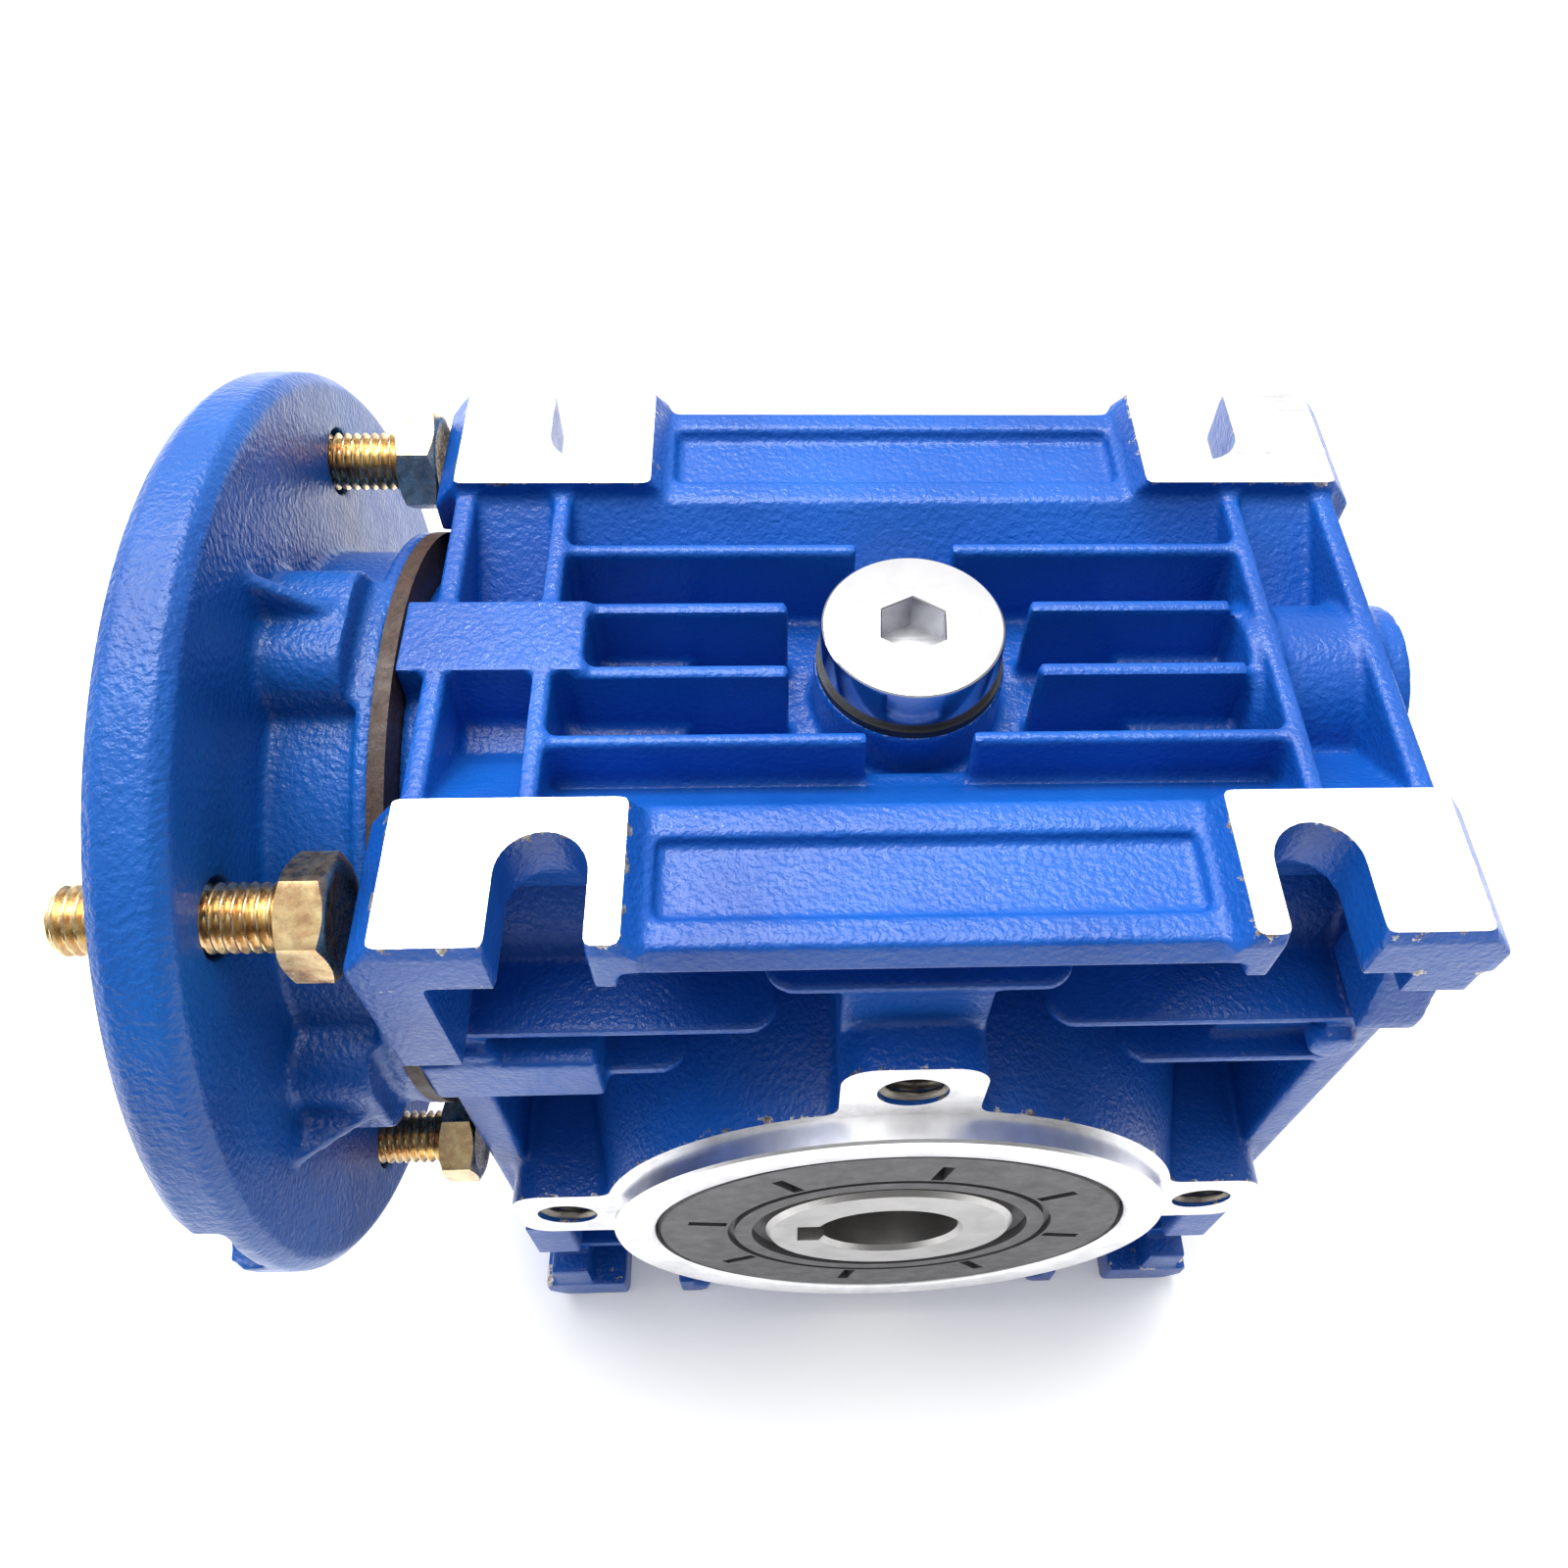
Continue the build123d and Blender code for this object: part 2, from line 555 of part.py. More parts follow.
with BuildPart() as worm_shaft:
    seat_end = input_bearing_end
    chamfered = input_shaft_radius - end_chamfer
    turn(worm_line, [(worm_shaft_end, 0), (worm_shaft_end, chamfered),
                     (worm_shaft_end + end_chamfer, input_shaft_radius), (seat_end, input_shaft_radius),
                     (seat_end, worm_shoulder_radius), (-21, worm_shoulder_radius),
                     (-21, worm_neck_radius), (-14.5, worm_neck_radius), (-14.5, worm_root_radius),
                     (14.5, worm_root_radius), (14.5, worm_neck_radius),
                     (rear_bearing_start, worm_neck_radius), (rear_bearing_start, rear_journal_radius),
                     (33.7, rear_journal_radius), (34.2, rear_journal_radius - end_chamfer), (34.2, 0)])
    thread_start = -thread_turns / 2 * worm_lead
    thread_plane = Plane(origin=(thread_start, 0, centre_distance), x_dir=(0, 0, 1), z_dir=(1, 0, 0))
    thread_path = thread_plane.from_local_coords(
        Edge.make_helix(pitch=worm_lead, height=thread_turns * worm_lead, radius=worm_pitch_radius))
    flank_slope = tan(pressure_angle)
    tip_half = thread_thickness / 2 - flank_slope * (worm_tip_radius - worm_pitch_radius)
    foot_radius = worm_root_radius - 1.0
    foot_half = thread_thickness / 2 + flank_slope * (worm_pitch_radius - foot_radius)
    thread_section = polygon(worm_section, [(thread_start - foot_half, foot_radius),
                                            (thread_start - tip_half, worm_tip_radius),
                                            (thread_start + tip_half, worm_tip_radius),
                                            (thread_start + foot_half, foot_radius)])
    sweep(thread_section, path=thread_path, is_frenet=True)
    ring(worm_line, worm_shaft_end - 1, worm_shaft_end + worm_bore_depth, 0, input_bore_radius,
         mode=Mode.SUBTRACT)
    block((worm_shaft_end - 1, worm_shaft_end + worm_bore_depth - 2),
          (-worm_key_width / 2, worm_key_width / 2),
          (centre_distance, centre_distance + worm_key_depth), mode=Mode.SUBTRACT)
    ring(worm_line, front_circlip[0] - 0.05, front_circlip[1] + 0.1, input_shaft_radius - shaft_groove_depth,
         input_shaft_radius + 1, mode=Mode.SUBTRACT)
    ring(worm_line, rear_circlip[0] - 0.1, rear_circlip[1] + 0.05, rear_journal_radius - shaft_groove_depth,
         rear_journal_radius + 1, mode=Mode.SUBTRACT)
save(worm_shaft, "worm_shaft")


# ---------------------------------------------------------------- ball bearings
Bearing = namedtuple("Bearing", "line across start end bore inner_land pitch ball outer_land outside count")
output_front = Bearing(output_line, across_output, front_bearing[0], front_bearing[1],
                       output_shaft_radius, 16.4, 18.0, 2.38, 19.6, output_seat_radius, 12)
output_rear = output_front._replace(start=-front_bearing[1], end=-front_bearing[0])
worm_input = Bearing(worm_line, across_worm, input_bearing_start, input_bearing_end,
                     input_shaft_radius, 12.0, 13.0, 1.75, 14.0, worm_seat_radius, 13)
worm_rear = Bearing(worm_line, across_worm, rear_bearing_start, rear_bearing_end,
                    rear_journal_radius, 9.2, 11.0, 2.8, 12.8, worm_seat_radius, 7)


def middle_of(size):
    """Centre of a bearing along its axis."""
    return (size.start + size.end) / 2


def inner_ring(size):
    ring(size.line, size.start, size.end, size.bore, size.inner_land)
    groove(size.line, middle_of(size), size.pitch, size.ball + ball_gap)


def outer_ring(size):
    ring(size.line, size.start, size.end, size.outer_land, size.outside)
    groove(size.line, middle_of(size), size.pitch, size.ball + ball_gap)


def balls(size):
    with Locations(size.across(middle_of(size))):
        with PolarLocations(size.pitch, size.count):
            Sphere(size.ball - ball_gap)


def cage(size):
    """Ball cage: a thin ring midway between the lands, with a round pocket for each ball."""
    half_width = size.ball + 0.45
    half_wall = (size.outer_land - size.inner_land) / 4
    ring(size.line, middle_of(size) - half_width, middle_of(size) + half_width,
         size.pitch - half_wall, size.pitch + half_wall)
    with Locations(size.across(middle_of(size))):
        with PolarLocations(size.pitch, size.count):
            Cylinder(size.ball + ball_gap, 4 * half_wall, rotation=(0, 90, 0), mode=Mode.SUBTRACT)


with BuildPart() as output_front_bearing_outer_ring:
    outer_ring(output_front)
save(output_front_bearing_outer_ring, "output_front_bearing_outer_ring")

with BuildPart() as output_front_bearing_inner_ring:
    inner_ring(output_front)
save(output_front_bearing_inner_ring, "output_front_bearing_inner_ring")

with BuildPart() as output_front_bearing_cage:
    cage(output_front)
save(output_front_bearing_cage, "output_front_bearing_cage")

with BuildPart() as output_front_bearing_balls:
    balls(output_front)
save(output_front_bearing_balls, "output_front_bearing_balls")

with BuildPart() as output_rear_bearing_outer_ring:
    outer_ring(output_rear)
save(output_rear_bearing_outer_ring, "output_rear_bearing_outer_ring")

with BuildPart() as output_rear_bearing_inner_ring:
    inner_ring(output_rear)
save(output_rear_bearing_inner_ring, "output_rear_bearing_inner_ring")

with BuildPart() as output_rear_bearing_cage:
    cage(output_rear)
save(output_rear_bearing_cage, "output_rear_bearing_cage")

with BuildPart() as output_rear_bearing_balls:
    balls(output_rear)
save(output_rear_bearing_balls, "output_rear_bearing_balls")

with BuildPart() as worm_input_bearing_outer_ring:
    outer_ring(worm_input)
save(worm_input_bearing_outer_ring, "worm_input_bearing_outer_ring")

with BuildPart() as worm_input_bearing_inner_ring:
    inner_ring(worm_input)
save(worm_input_bearing_inner_ring, "worm_input_bearing_inner_ring")

with BuildPart() as worm_input_bearing_cage:
    cage(worm_input)
save(worm_input_bearing_cage, "worm_input_bearing_cage")

with BuildPart() as worm_input_bearing_balls:
    balls(worm_input)
save(worm_input_bearing_balls, "worm_input_bearing_balls")

with BuildPart() as worm_rear_bearing_outer_ring:
    outer_ring(worm_rear)
save(worm_rear_bearing_outer_ring, "worm_rear_bearing_outer_ring")

with BuildPart() as worm_rear_bearing_inner_ring:
    inner_ring(worm_rear)
save(worm_rear_bearing_inner_ring, "worm_rear_bearing_inner_ring")

with BuildPart() as worm_rear_bearing_cage:
    cage(worm_rear)
save(worm_rear_bearing_cage, "worm_rear_bearing_cage")

with BuildPart() as worm_rear_bearing_balls:
    balls(worm_rear)
save(worm_rear_bearing_balls, "worm_rear_bearing_balls")


# ---------------------------------------------------------------- seals, circlips and end cap
seal_back = 24.5
seal_face = 31.3
seal_lip_radius = output_shaft_radius + running_gap
seal_edge = 0.6             # width of the bevel round the seal
seal_groove = (15.6, 16.3)
seal_slots = 8
seal_slot_length = 3.8
seal_slot_width = 1.2


def output_seal(side):
    """Oil seal of the output shaft; side is -1 at the front, 1 at the far end."""
    outline = [(seal_back, 21.9), (seal_back, output_seat_radius), (seal_face - 1.1, output_seat_radius),
               (seal_face, output_seat_radius - seal_edge), (seal_face, 13.9), (seal_face - 0.9, 13.9),
               (seal_face - 1.6, seal_lip_radius), (seal_face - 3.4, seal_lip_radius),
               (seal_face - 4.6, 14.6), (seal_face - 2.2, 15.6), (seal_face - 2.2, 21.9)]
    turn(output_line, [(side * y, r) for y, r in outline])
    ring(output_line, side * (seal_face - 0.6), side * (seal_face + 1), seal_groove[0], seal_groove[1],
         mode=Mode.SUBTRACT)
    with BuildSketch(across_output(side * seal_face)) as slots:
        with PolarLocations(18.5, seal_slots, start_angle=-11.5):
            Rectangle(seal_slot_length, seal_slot_width)
    extrude(slots.sketch, amount=side * 1.0, mode=Mode.SUBTRACT)


with BuildPart() as output_front_seal:
    output_seal(-1)
save(output_front_seal, "output_front_seal")

with BuildPart() as output_rear_seal:
    output_seal(1)
save(output_rear_seal, "output_rear_seal")

with BuildPart() as input_seal_ring:
    lip = input_shaft_radius + running_gap
    face, back = input_seal
    turn(worm_line, [(face, 11.5), (face, worm_seat_radius - 0.4), (face + 0.4, worm_seat_radius),
                     (back, worm_seat_radius), (back, 14.8), (face + 2.0, 14.8), (face + 2.0, 12.6),
                     (back - 0.6, 12.0), (back - 1.4, lip), (face + 2.0, lip), (face + 0.8, 11.5)])
save(input_seal_ring, "input_seal_ring")


def circlip(across, span, inner, outer, lug_radius, lug_circle, opening):
    """Snap ring lying in a groove: a ring with an opening at the top and an eye at each end."""
    start, end = span
    eye_angle = 1.2 * lug_radius / lug_circle + opening
    with BuildSketch(across(start)) as face:
        Circle(outer)
        Circle(inner, mode=Mode.SUBTRACT)
        with Locations((0, (inner + outer) / 2)):
            Rectangle(2 * lug_circle * sin(opening), 2.4 * (outer - inner), mode=Mode.SUBTRACT)
        for turn_side in (-1, 1):
            eye = (lug_circle * sin(turn_side * eye_angle), lug_circle * cos(eye_angle))
            with Locations(eye):
                Circle(lug_radius)
                Circle(0.6, mode=Mode.SUBTRACT)
    extrude(face.sketch, amount=end - start)


with BuildPart() as input_bore_circlip:
    circlip(across_worm, (input_bearing_start - circlip_thickness, input_bearing_start),
            14.3, worm_seat_radius + circlip_depth, 1.6, 14.1, radians(6))
save(input_bore_circlip, "input_bore_circlip")

with BuildPart() as rear_bore_circlip:
    circlip(across_worm, (rear_bearing_end, rear_bearing_end + circlip_thickness),
            14.3, worm_seat_radius + circlip_depth, 1.6, 14.1, radians(6))
save(rear_bore_circlip, "rear_bore_circlip")

with BuildPart() as worm_front_circlip:
    circlip(across_worm, front_circlip, input_shaft_radius - shaft_groove_depth, 11.4, 1.3, 10.9, radians(12))
save(worm_front_circlip, "worm_front_circlip")

with BuildPart() as worm_rear_circlip:
    circlip(across_worm, rear_circlip, rear_journal_radius - shaft_groove_depth, 7.4, 1.2, 7.3, radians(14))
save(worm_rear_circlip, "worm_rear_circlip")

with BuildPart() as rear_end_cap:
    inner_face, outer_face = rear_cap
    turn(worm_line, [(inner_face, 14.5), (inner_face, worm_seat_radius), (outer_face - 0.4, worm_seat_radius),
                     (outer_face, worm_seat_radius - 0.4), (outer_face, 12.2), (outer_face - 0.7, 11.4),
                     (outer_face - 0.7, 0), (outer_face - 2.2, 0), (outer_face - 2.2, 14.5)])
save(rear_end_cap, "rear_end_cap")


# ---------------------------------------------------------------- input flange
flange_edge = 1.0
spigot_depth = 3.5
lobe_half_width = 6.2
lobe_radius = 28.9
lobe_length = 20.0
lobe_corner = 3.6
lobe_back = -43.2
counterbore_radius = 3.7
counterbore_floor = -46.5
motor_hole_radius = 2.9
gusset_thickness = 1.2
gasket_face = -half_length - gasket_thickness
flange_back = motor_face + flange_thickness

with BuildPart() as input_flange:
    turn(worm_line, [(motor_face, 0), (motor_face, flange_radius - flange_edge),
                     (motor_face + flange_edge, flange_radius), (flange_back - flange_edge, flange_radius),
                     (flange_back, flange_radius - flange_edge), (flange_back, neck_radius),
                     (gasket_face - 1.3, neck_radius), (gasket_face - 1.3, register_radius),
                     (gasket_face, register_radius), (gasket_face, 0)])
    # screw lobes and their gussets
    with BuildSketch(across_worm(flange_back)):
        with PolarLocations(lobe_radius - lobe_length / 2, 4):
            RectangleRounded(lobe_length, 2 * lobe_half_width, lobe_corner)
    extrude(amount=lobe_back - flange_back)
    for quarter in range(4):
        gusset = polygon(worm_section, [(flange_back - 1, lobe_radius - 2), (flange_back - 1, 33.5),
                                        (flange_back, 33), (lobe_back - 0.5, lobe_radius - 0.2),
                                        (lobe_back - 0.5, lobe_radius - 2)])
        extrude(gusset.rotate(worm_axis, 90 * quarter), amount=gusset_thickness / 2, both=True)
    # spigot recess, bore, screw and motor bolt holes, notch in the rim
    ring(worm_line, motor_face - 1, motor_face + spigot_depth, 0, spigot_radius, mode=Mode.SUBTRACT)
    ring(worm_line, motor_face, gasket_face + 1, 0, neck_bore_radius, mode=Mode.SUBTRACT)
    with BuildSketch(across_worm(motor_face + spigot_depth - 1)):
        with PolarLocations(flange_screw_circle, 4):
            Circle(counterbore_radius)
    extrude(amount=counterbore_floor - motor_face - spigot_depth + 1, mode=Mode.SUBTRACT)
    with BuildSketch(across_worm(counterbore_floor - 1)):
        with PolarLocations(flange_screw_circle, 4):
            Circle(screw_radius + running_gap)
    extrude(amount=gasket_face - counterbore_floor + 2, mode=Mode.SUBTRACT)
    with BuildSketch(across_worm(motor_face - 1)):
        with PolarLocations(motor_circle, 4, start_angle=45):
            Circle(motor_hole_radius)
    extrude(amount=flange_thickness + 2, mode=Mode.SUBTRACT)
    block((motor_face - 1, motor_face + 3), (-flange_radius - 1, -37.6), (25, 35), mode=Mode.SUBTRACT)
save(input_flange, "input_flange")

with BuildPart() as flange_gasket:
    with BuildSketch(across_worm(gasket_face)):
        Circle(register_radius)
        Circle(worm_seat_radius, mode=Mode.SUBTRACT)
        with PolarLocations(flange_screw_circle, 4):
            Circle(screw_radius + running_gap, mode=Mode.SUBTRACT)
    extrude(amount=gasket_thickness)
save(flange_gasket, "flange_gasket")

with BuildPart() as flange_screws:
    with BuildSketch(across_worm(counterbore_floor)):
        with PolarLocations(flange_screw_circle, 4):
            Circle(cover_screw_head)
    extrude(amount=-cover_screw_height)
    with BuildSketch(across_worm(counterbore_floor)):
        with PolarLocations(flange_screw_circle, 4):
            Circle(screw_radius)
    extrude(amount=12.5)
    with BuildSketch(across_worm(counterbore_floor - cover_screw_height)):
        with PolarLocations(flange_screw_circle, 4):
            RegularPolygon(hex_key_m4 / 2, 6, major_radius=False)
    extrude(amount=2, mode=Mode.SUBTRACT)
save(flange_screws, "flange_screws")


# ---------------------------------------------------------------- oil plug
plug_collar_radius = 7.3
plug_ring_thickness = 0.7
plug_socket = 5.0

with BuildPart() as oil_plug:
    collar_base = plug_seat + plug_ring_thickness
    with BuildSketch(Plane.XY.offset(collar_base)):
        Circle(plug_collar_radius)
    extrude(amount=top_face - collar_base)
    chamfer(oil_plug.edges().group_by(Axis.Z)[-1], length=0.4)
    with BuildSketch(Plane.XY.offset(43)):
        Circle(plug_thread_radius)
    extrude(amount=collar_base - 43)
    with BuildSketch(Plane.XY.offset(top_face)):
        RegularPolygon(plug_socket / 2, 6, major_radius=False)
    extrude(amount=-4, mode=Mode.SUBTRACT)
save(oil_plug, "oil_plug")

with BuildPart() as oil_plug_o_ring:
    with BuildSketch(Plane.XY.offset(plug_seat)):
        Circle(plug_collar_radius + 0.3)
        Circle(plug_thread_radius + running_gap, mode=Mode.SUBTRACT)
    extrude(amount=plug_ring_thickness)
save(oil_plug_o_ring, "oil_plug_o_ring")


# ---------------------------------------------------------------- motor bolts
bolt_radius = 2.5           # M5
bolt_length = 16.0
bolt_head_height = 3.5
bolt_head_flats = 8.0
mean_thread_radius = 2.3
thread_end = motor_face - 0.3   # the full diameter is kept where the bolt stands out of the flange


def motor_bolt(y_side, z_side, stand_off):
    """Hex head bolt pointing at the motor, backed out of its hole by the stand-off."""
    reach = motor_circle / sqrt(2)
    seat = flange_back + stand_off
    centre = Vector(0, y_side * reach, centre_distance + z_side * reach)
    line = Axis(centre, (1, 0, 0))
    section = Plane(origin=centre, x_dir=(1, 0, 0), z_dir=(0, -1, 0))
    corner = bolt_head_flats / sqrt(3)
    with BuildSketch(Plane(origin=centre + Vector(seat, 0, 0), x_dir=(0, 1, 0), z_dir=(1, 0, 0))) as head:
        RegularPolygon(bolt_head_flats / 2, 6, major_radius=False)
    extrude(head.sketch, amount=bolt_head_height)
    crown = seat + bolt_head_height
    turn((section, line), [(seat - 1, 0), (seat - 1, corner + 0.1), (crown - 0.5, corner + 0.1),
                           (crown, corner - 0.75), (crown, 0)], mode=Mode.INTERSECT)
    tip = seat - bolt_length
    turn((section, line), [(seat, 0), (seat, mean_thread_radius), (thread_end + 0.2, mean_thread_radius),
                           (thread_end, bolt_radius), (tip + 0.6, bolt_radius),
                           (tip, bolt_radius - 0.6), (tip, 0)])


with BuildPart() as motor_bolt_1:
    motor_bolt(-1, 1, 5.0)
save(motor_bolt_1, "motor_bolt_1")

with BuildPart() as motor_bolt_2:
    motor_bolt(1, 1, 5.8)
save(motor_bolt_2, "motor_bolt_2")

with BuildPart() as motor_bolt_3:
    motor_bolt(-1, -1, 5.8)
save(motor_bolt_3, "motor_bolt_3")

with BuildPart() as motor_bolt_4:
    motor_bolt(1, -1, 5.0)
save(motor_bolt_4, "motor_bolt_4")
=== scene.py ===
"""Look of the worm gearbox: cast and machined surfaces, real threads, seals and finishes.

Shapes are built in millimetres, with X along the worm, Y along the output shaft and Z up.
"""
import bpy
import bmesh
from math import cos, pi, radians, sin, sqrt
from mathutils import Matrix, Vector


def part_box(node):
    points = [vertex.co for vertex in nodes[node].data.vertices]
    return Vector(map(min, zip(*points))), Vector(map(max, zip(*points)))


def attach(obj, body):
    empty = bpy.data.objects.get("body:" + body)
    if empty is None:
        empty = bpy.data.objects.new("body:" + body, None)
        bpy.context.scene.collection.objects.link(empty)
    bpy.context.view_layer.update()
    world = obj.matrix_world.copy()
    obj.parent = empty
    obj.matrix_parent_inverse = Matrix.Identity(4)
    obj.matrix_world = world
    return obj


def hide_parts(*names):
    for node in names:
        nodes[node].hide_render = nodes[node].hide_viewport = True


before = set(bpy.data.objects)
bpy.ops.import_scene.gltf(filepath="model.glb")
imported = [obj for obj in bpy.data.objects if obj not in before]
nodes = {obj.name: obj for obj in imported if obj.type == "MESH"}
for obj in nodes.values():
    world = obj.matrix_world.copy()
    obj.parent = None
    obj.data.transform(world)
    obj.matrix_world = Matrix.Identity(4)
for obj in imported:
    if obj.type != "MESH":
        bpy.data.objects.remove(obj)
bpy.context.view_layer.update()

MM = 0.001
WORM_Z = 30.0                # height of the worm's axis above the output axis
EAR_CIRCLE = 32.5            # radius of the circle through the ears' holes
EAR_HOLE = 3.0               # radius of the ears' threaded holes
EAR_TAP = 2.5                # radius of the far ears' holes in the CAD
EAR_FACE = 29.0              # the ears' milled faces, from the middle plane
MOTOR_BOLT_CIRCLE = 32.5     # radius of the circle through the motor bolts
SEAL_BORE = 23.5             # radius of the bores round the output seals
RING_SEAT = 24.9             # radius that those bores are opened to, for the turned register rings
RING_DEPTH = 24.0            # where the opened part begins, from the middle plane
PROUD = 0.7                  # metal left on a casting for its milling cuts
VOXEL = 0.35                 # grain of the castings
SOFTEN = 4                   # passes that round the castings' edges

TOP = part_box("housing")[1][2] / MM
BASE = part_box("housing")[0][2] / MM


# ------------------------------------------------------------------ materials
class Nodes:
    """Short names for building a node tree."""

    def __init__(self, name):
        self.material = bpy.data.materials.new(name)
        self.material.use_nodes = True
        self.tree = self.material.node_tree
        self.tree.nodes.clear()
        self.out = self.add("ShaderNodeOutputMaterial")
        self.shader = self.add("ShaderNodeBsdfPrincipled")
        self.join(self.shader.outputs["BSDF"], self.out.inputs["Surface"])
        self.place = self.add("ShaderNodeTexCoord").outputs["Object"]

    def add(self, kind, **values):
        node = self.tree.nodes.new(kind)
        for key, value in values.items():
            setattr(node, key, value)
        return node

    def join(self, a, b):
        self.tree.links.new(a, b)

    def feed(self, socket, value):
        """Link an output to a socket, or write a plain value in it."""
        if hasattr(value, "links"):
            self.join(value, socket)
        else:
            socket.default_value = value

    def set(self, **values):
        for key, value in values.items():
            self.shader.inputs[key.replace("_", " ")].default_value = value

    def noise(self, scale, detail=3.0, roughness=0.5, distortion=0.0, vector=None):
        node = self.add("ShaderNodeTexNoise")
        node.inputs["Scale"].default_value = scale
        node.inputs["Detail"].default_value = detail
        node.inputs["Roughness"].default_value = roughness
        node.inputs["Distortion"].default_value = distortion
        self.join(vector or self.place, node.inputs["Vector"])
        return node.outputs["Fac"]

    def ramp(self, value, stops):
        node = self.add("ShaderNodeValToRGB")
        while len(node.color_ramp.elements) < len(stops):
            node.color_ramp.elements.new(0.5)
        for element, (position, colour) in zip(node.color_ramp.elements, stops):
            element.position = position
            element.color = colour if len(colour) == 4 else (*colour, 1.0)
        self.join(value, node.inputs["Fac"])
        return node.outputs["Color"]

    def math(self, operation, a, b=None):
        node = self.add("ShaderNodeMath", operation=operation)
        self.feed(node.inputs[0], a)
        if b is not None:
            self.feed(node.inputs[1], b)
        return node.outputs[0]

    def mix(self, factor, a, b):
        node = self.add("ShaderNodeMix", data_type="RGBA")
        for number, value in ((0, factor), (6, a), (7, b)):
            self.feed(node.inputs[number], value)
        return node.outputs[2]

    def axis(self, letter):
        split = self.add("ShaderNodeSeparateXYZ")
        self.join(self.place, split.inputs[0])
        return split.outputs[letter]

    def radius(self, axis, centre):
        """Distance from a line along X or Y, in metres."""
        moved = self.add("ShaderNodeVectorMath", operation="SUBTRACT")
        self.join(self.place, moved.inputs[0])
        moved.inputs[1].default_value = centre
        flat = self.add("ShaderNodeVectorMath", operation="MULTIPLY")
        self.join(moved.outputs[0], flat.inputs[0])
        flat.inputs[1].default_value = tuple(0.0 if letter == axis else 1.0 for letter in "XYZ")
        length = self.add("ShaderNodeVectorMath", operation="LENGTH")
        self.join(flat.outputs[0], length.inputs[0])
        return length.outputs["Value"]

    def colour(self, value, stops):
        """Let a value choose the base colour."""
        self.join(self.ramp(value, stops), self.shader.inputs["Base Color"])

    def roughness(self, value, rough, stops=(0.3, 0.7)):
        """Let a value choose the roughness between two limits."""
        greys = [(stop, (level,) * 3) for stop, level in zip(stops, rough)]
        self.join(self.ramp(value, greys), self.shader.inputs["Roughness"])

    def relief(self, height, strength, distance):
        """Bump the surface by a height, and return the normal."""
        node = self.add("ShaderNodeBump")
        node.inputs["Strength"].default_value = strength
        node.inputs["Distance"].default_value = distance
        self.join(height, node.inputs["Height"])
        self.join(node.outputs["Normal"], self.shader.inputs["Normal"])
        return node.outputs["Normal"]


def srgb(r, g, b):
    """A colour given by its sRGB channels, 0 to 255, in linear light."""
    def channel(c):
        c /= 255
        return c / 12.92 if c <= 0.04045 else ((c + 0.055) / 1.055) ** 2.4
    return (channel(r), channel(g), channel(b), 1.0)


def darker(base, share):
    return tuple(c * share for c in base[:3]) + (1.0,)


def edge_chips(m, depth):
    """Small chips in the paint close below a milled face, given the depth below it in metres."""
    ragged = m.math("MULTIPLY", m.math("SUBTRACT", m.noise(620, 5.0, 0.7), 0.52), 0.0052)
    chip = m.math("GREATER_THAN", m.math("SUBTRACT", ragged, depth), 0.0)
    return m.math("MULTIPLY", chip, m.math("LESS_THAN", depth, 0.9 * MM))


def foot_knocks(m, depth):
    """Larger knocks along the lower front edge of the feet."""
    foot_depth, front = 5.7, -25.5
    away = m.math("ABSOLUTE", m.math("SUBTRACT", depth, foot_depth * MM))
    ragged = m.math("MULTIPLY", m.math("SUBTRACT", m.noise(300, 5.0, 0.7), 0.55), 0.006)
    knock = m.math("GREATER_THAN", m.math("SUBTRACT", ragged, away), 0.0)
    return m.math("MULTIPLY", knock, m.math("LESS_THAN", m.axis("Y"), front * MM))


def cast_paint(name, base, light, dark, milled_faces=(), peel_strength=0.78):
    """Thick glossy enamel with an orange-peel skin, and small chips along the milled edges."""
    m = Nodes(name)
    colour = m.ramp(m.noise(60, 2, 0.5), [(0.3, dark), (0.5, base), (0.72, light)])
    peel = m.math("MULTIPLY", m.noise(1900, 2.0, 0.45, 0.15), 0.8)
    grain = m.math("MULTIPLY", m.noise(4600, 2.0, 0.5), 0.18)
    lumps = m.math("MULTIPLY", m.noise(330, 2.0, 0.5), 0.15)
    height = m.math("ADD", m.math("ADD", peel, grain), lumps)
    wear = None
    for letter, plane, outward in milled_faces:
        depth = m.math("MULTIPLY", m.math("SUBTRACT", m.axis(letter), plane * MM), -outward)
        chips = edge_chips(m, depth)
        if letter == "Z":
            chips = m.math("MAXIMUM", chips, foot_knocks(m, depth))
        wear = chips if wear is None else m.math("MAXIMUM", wear, chips)
    if wear is not None:
        bare = m.ramp(m.noise(1500, 3, 0.6), [(0.35, srgb(112, 96, 78)), (0.65, srgb(206, 203, 198))])
        colour = m.mix(wear, colour, bare)
        m.join(m.math("MULTIPLY", wear, 0.6), m.shader.inputs["Metallic"])
    m.join(colour, m.shader.inputs["Base Color"])
    m.roughness(m.noise(420, 3.0, 0.6), (0.3, 0.46), (0.3, 0.75))
    m.join(m.relief(height, peel_strength, 0.0002), m.shader.inputs["Coat Normal"])
    m.set(Coat_Weight=0.15, Coat_Roughness=0.1, IOR=1.38)
    return m.material


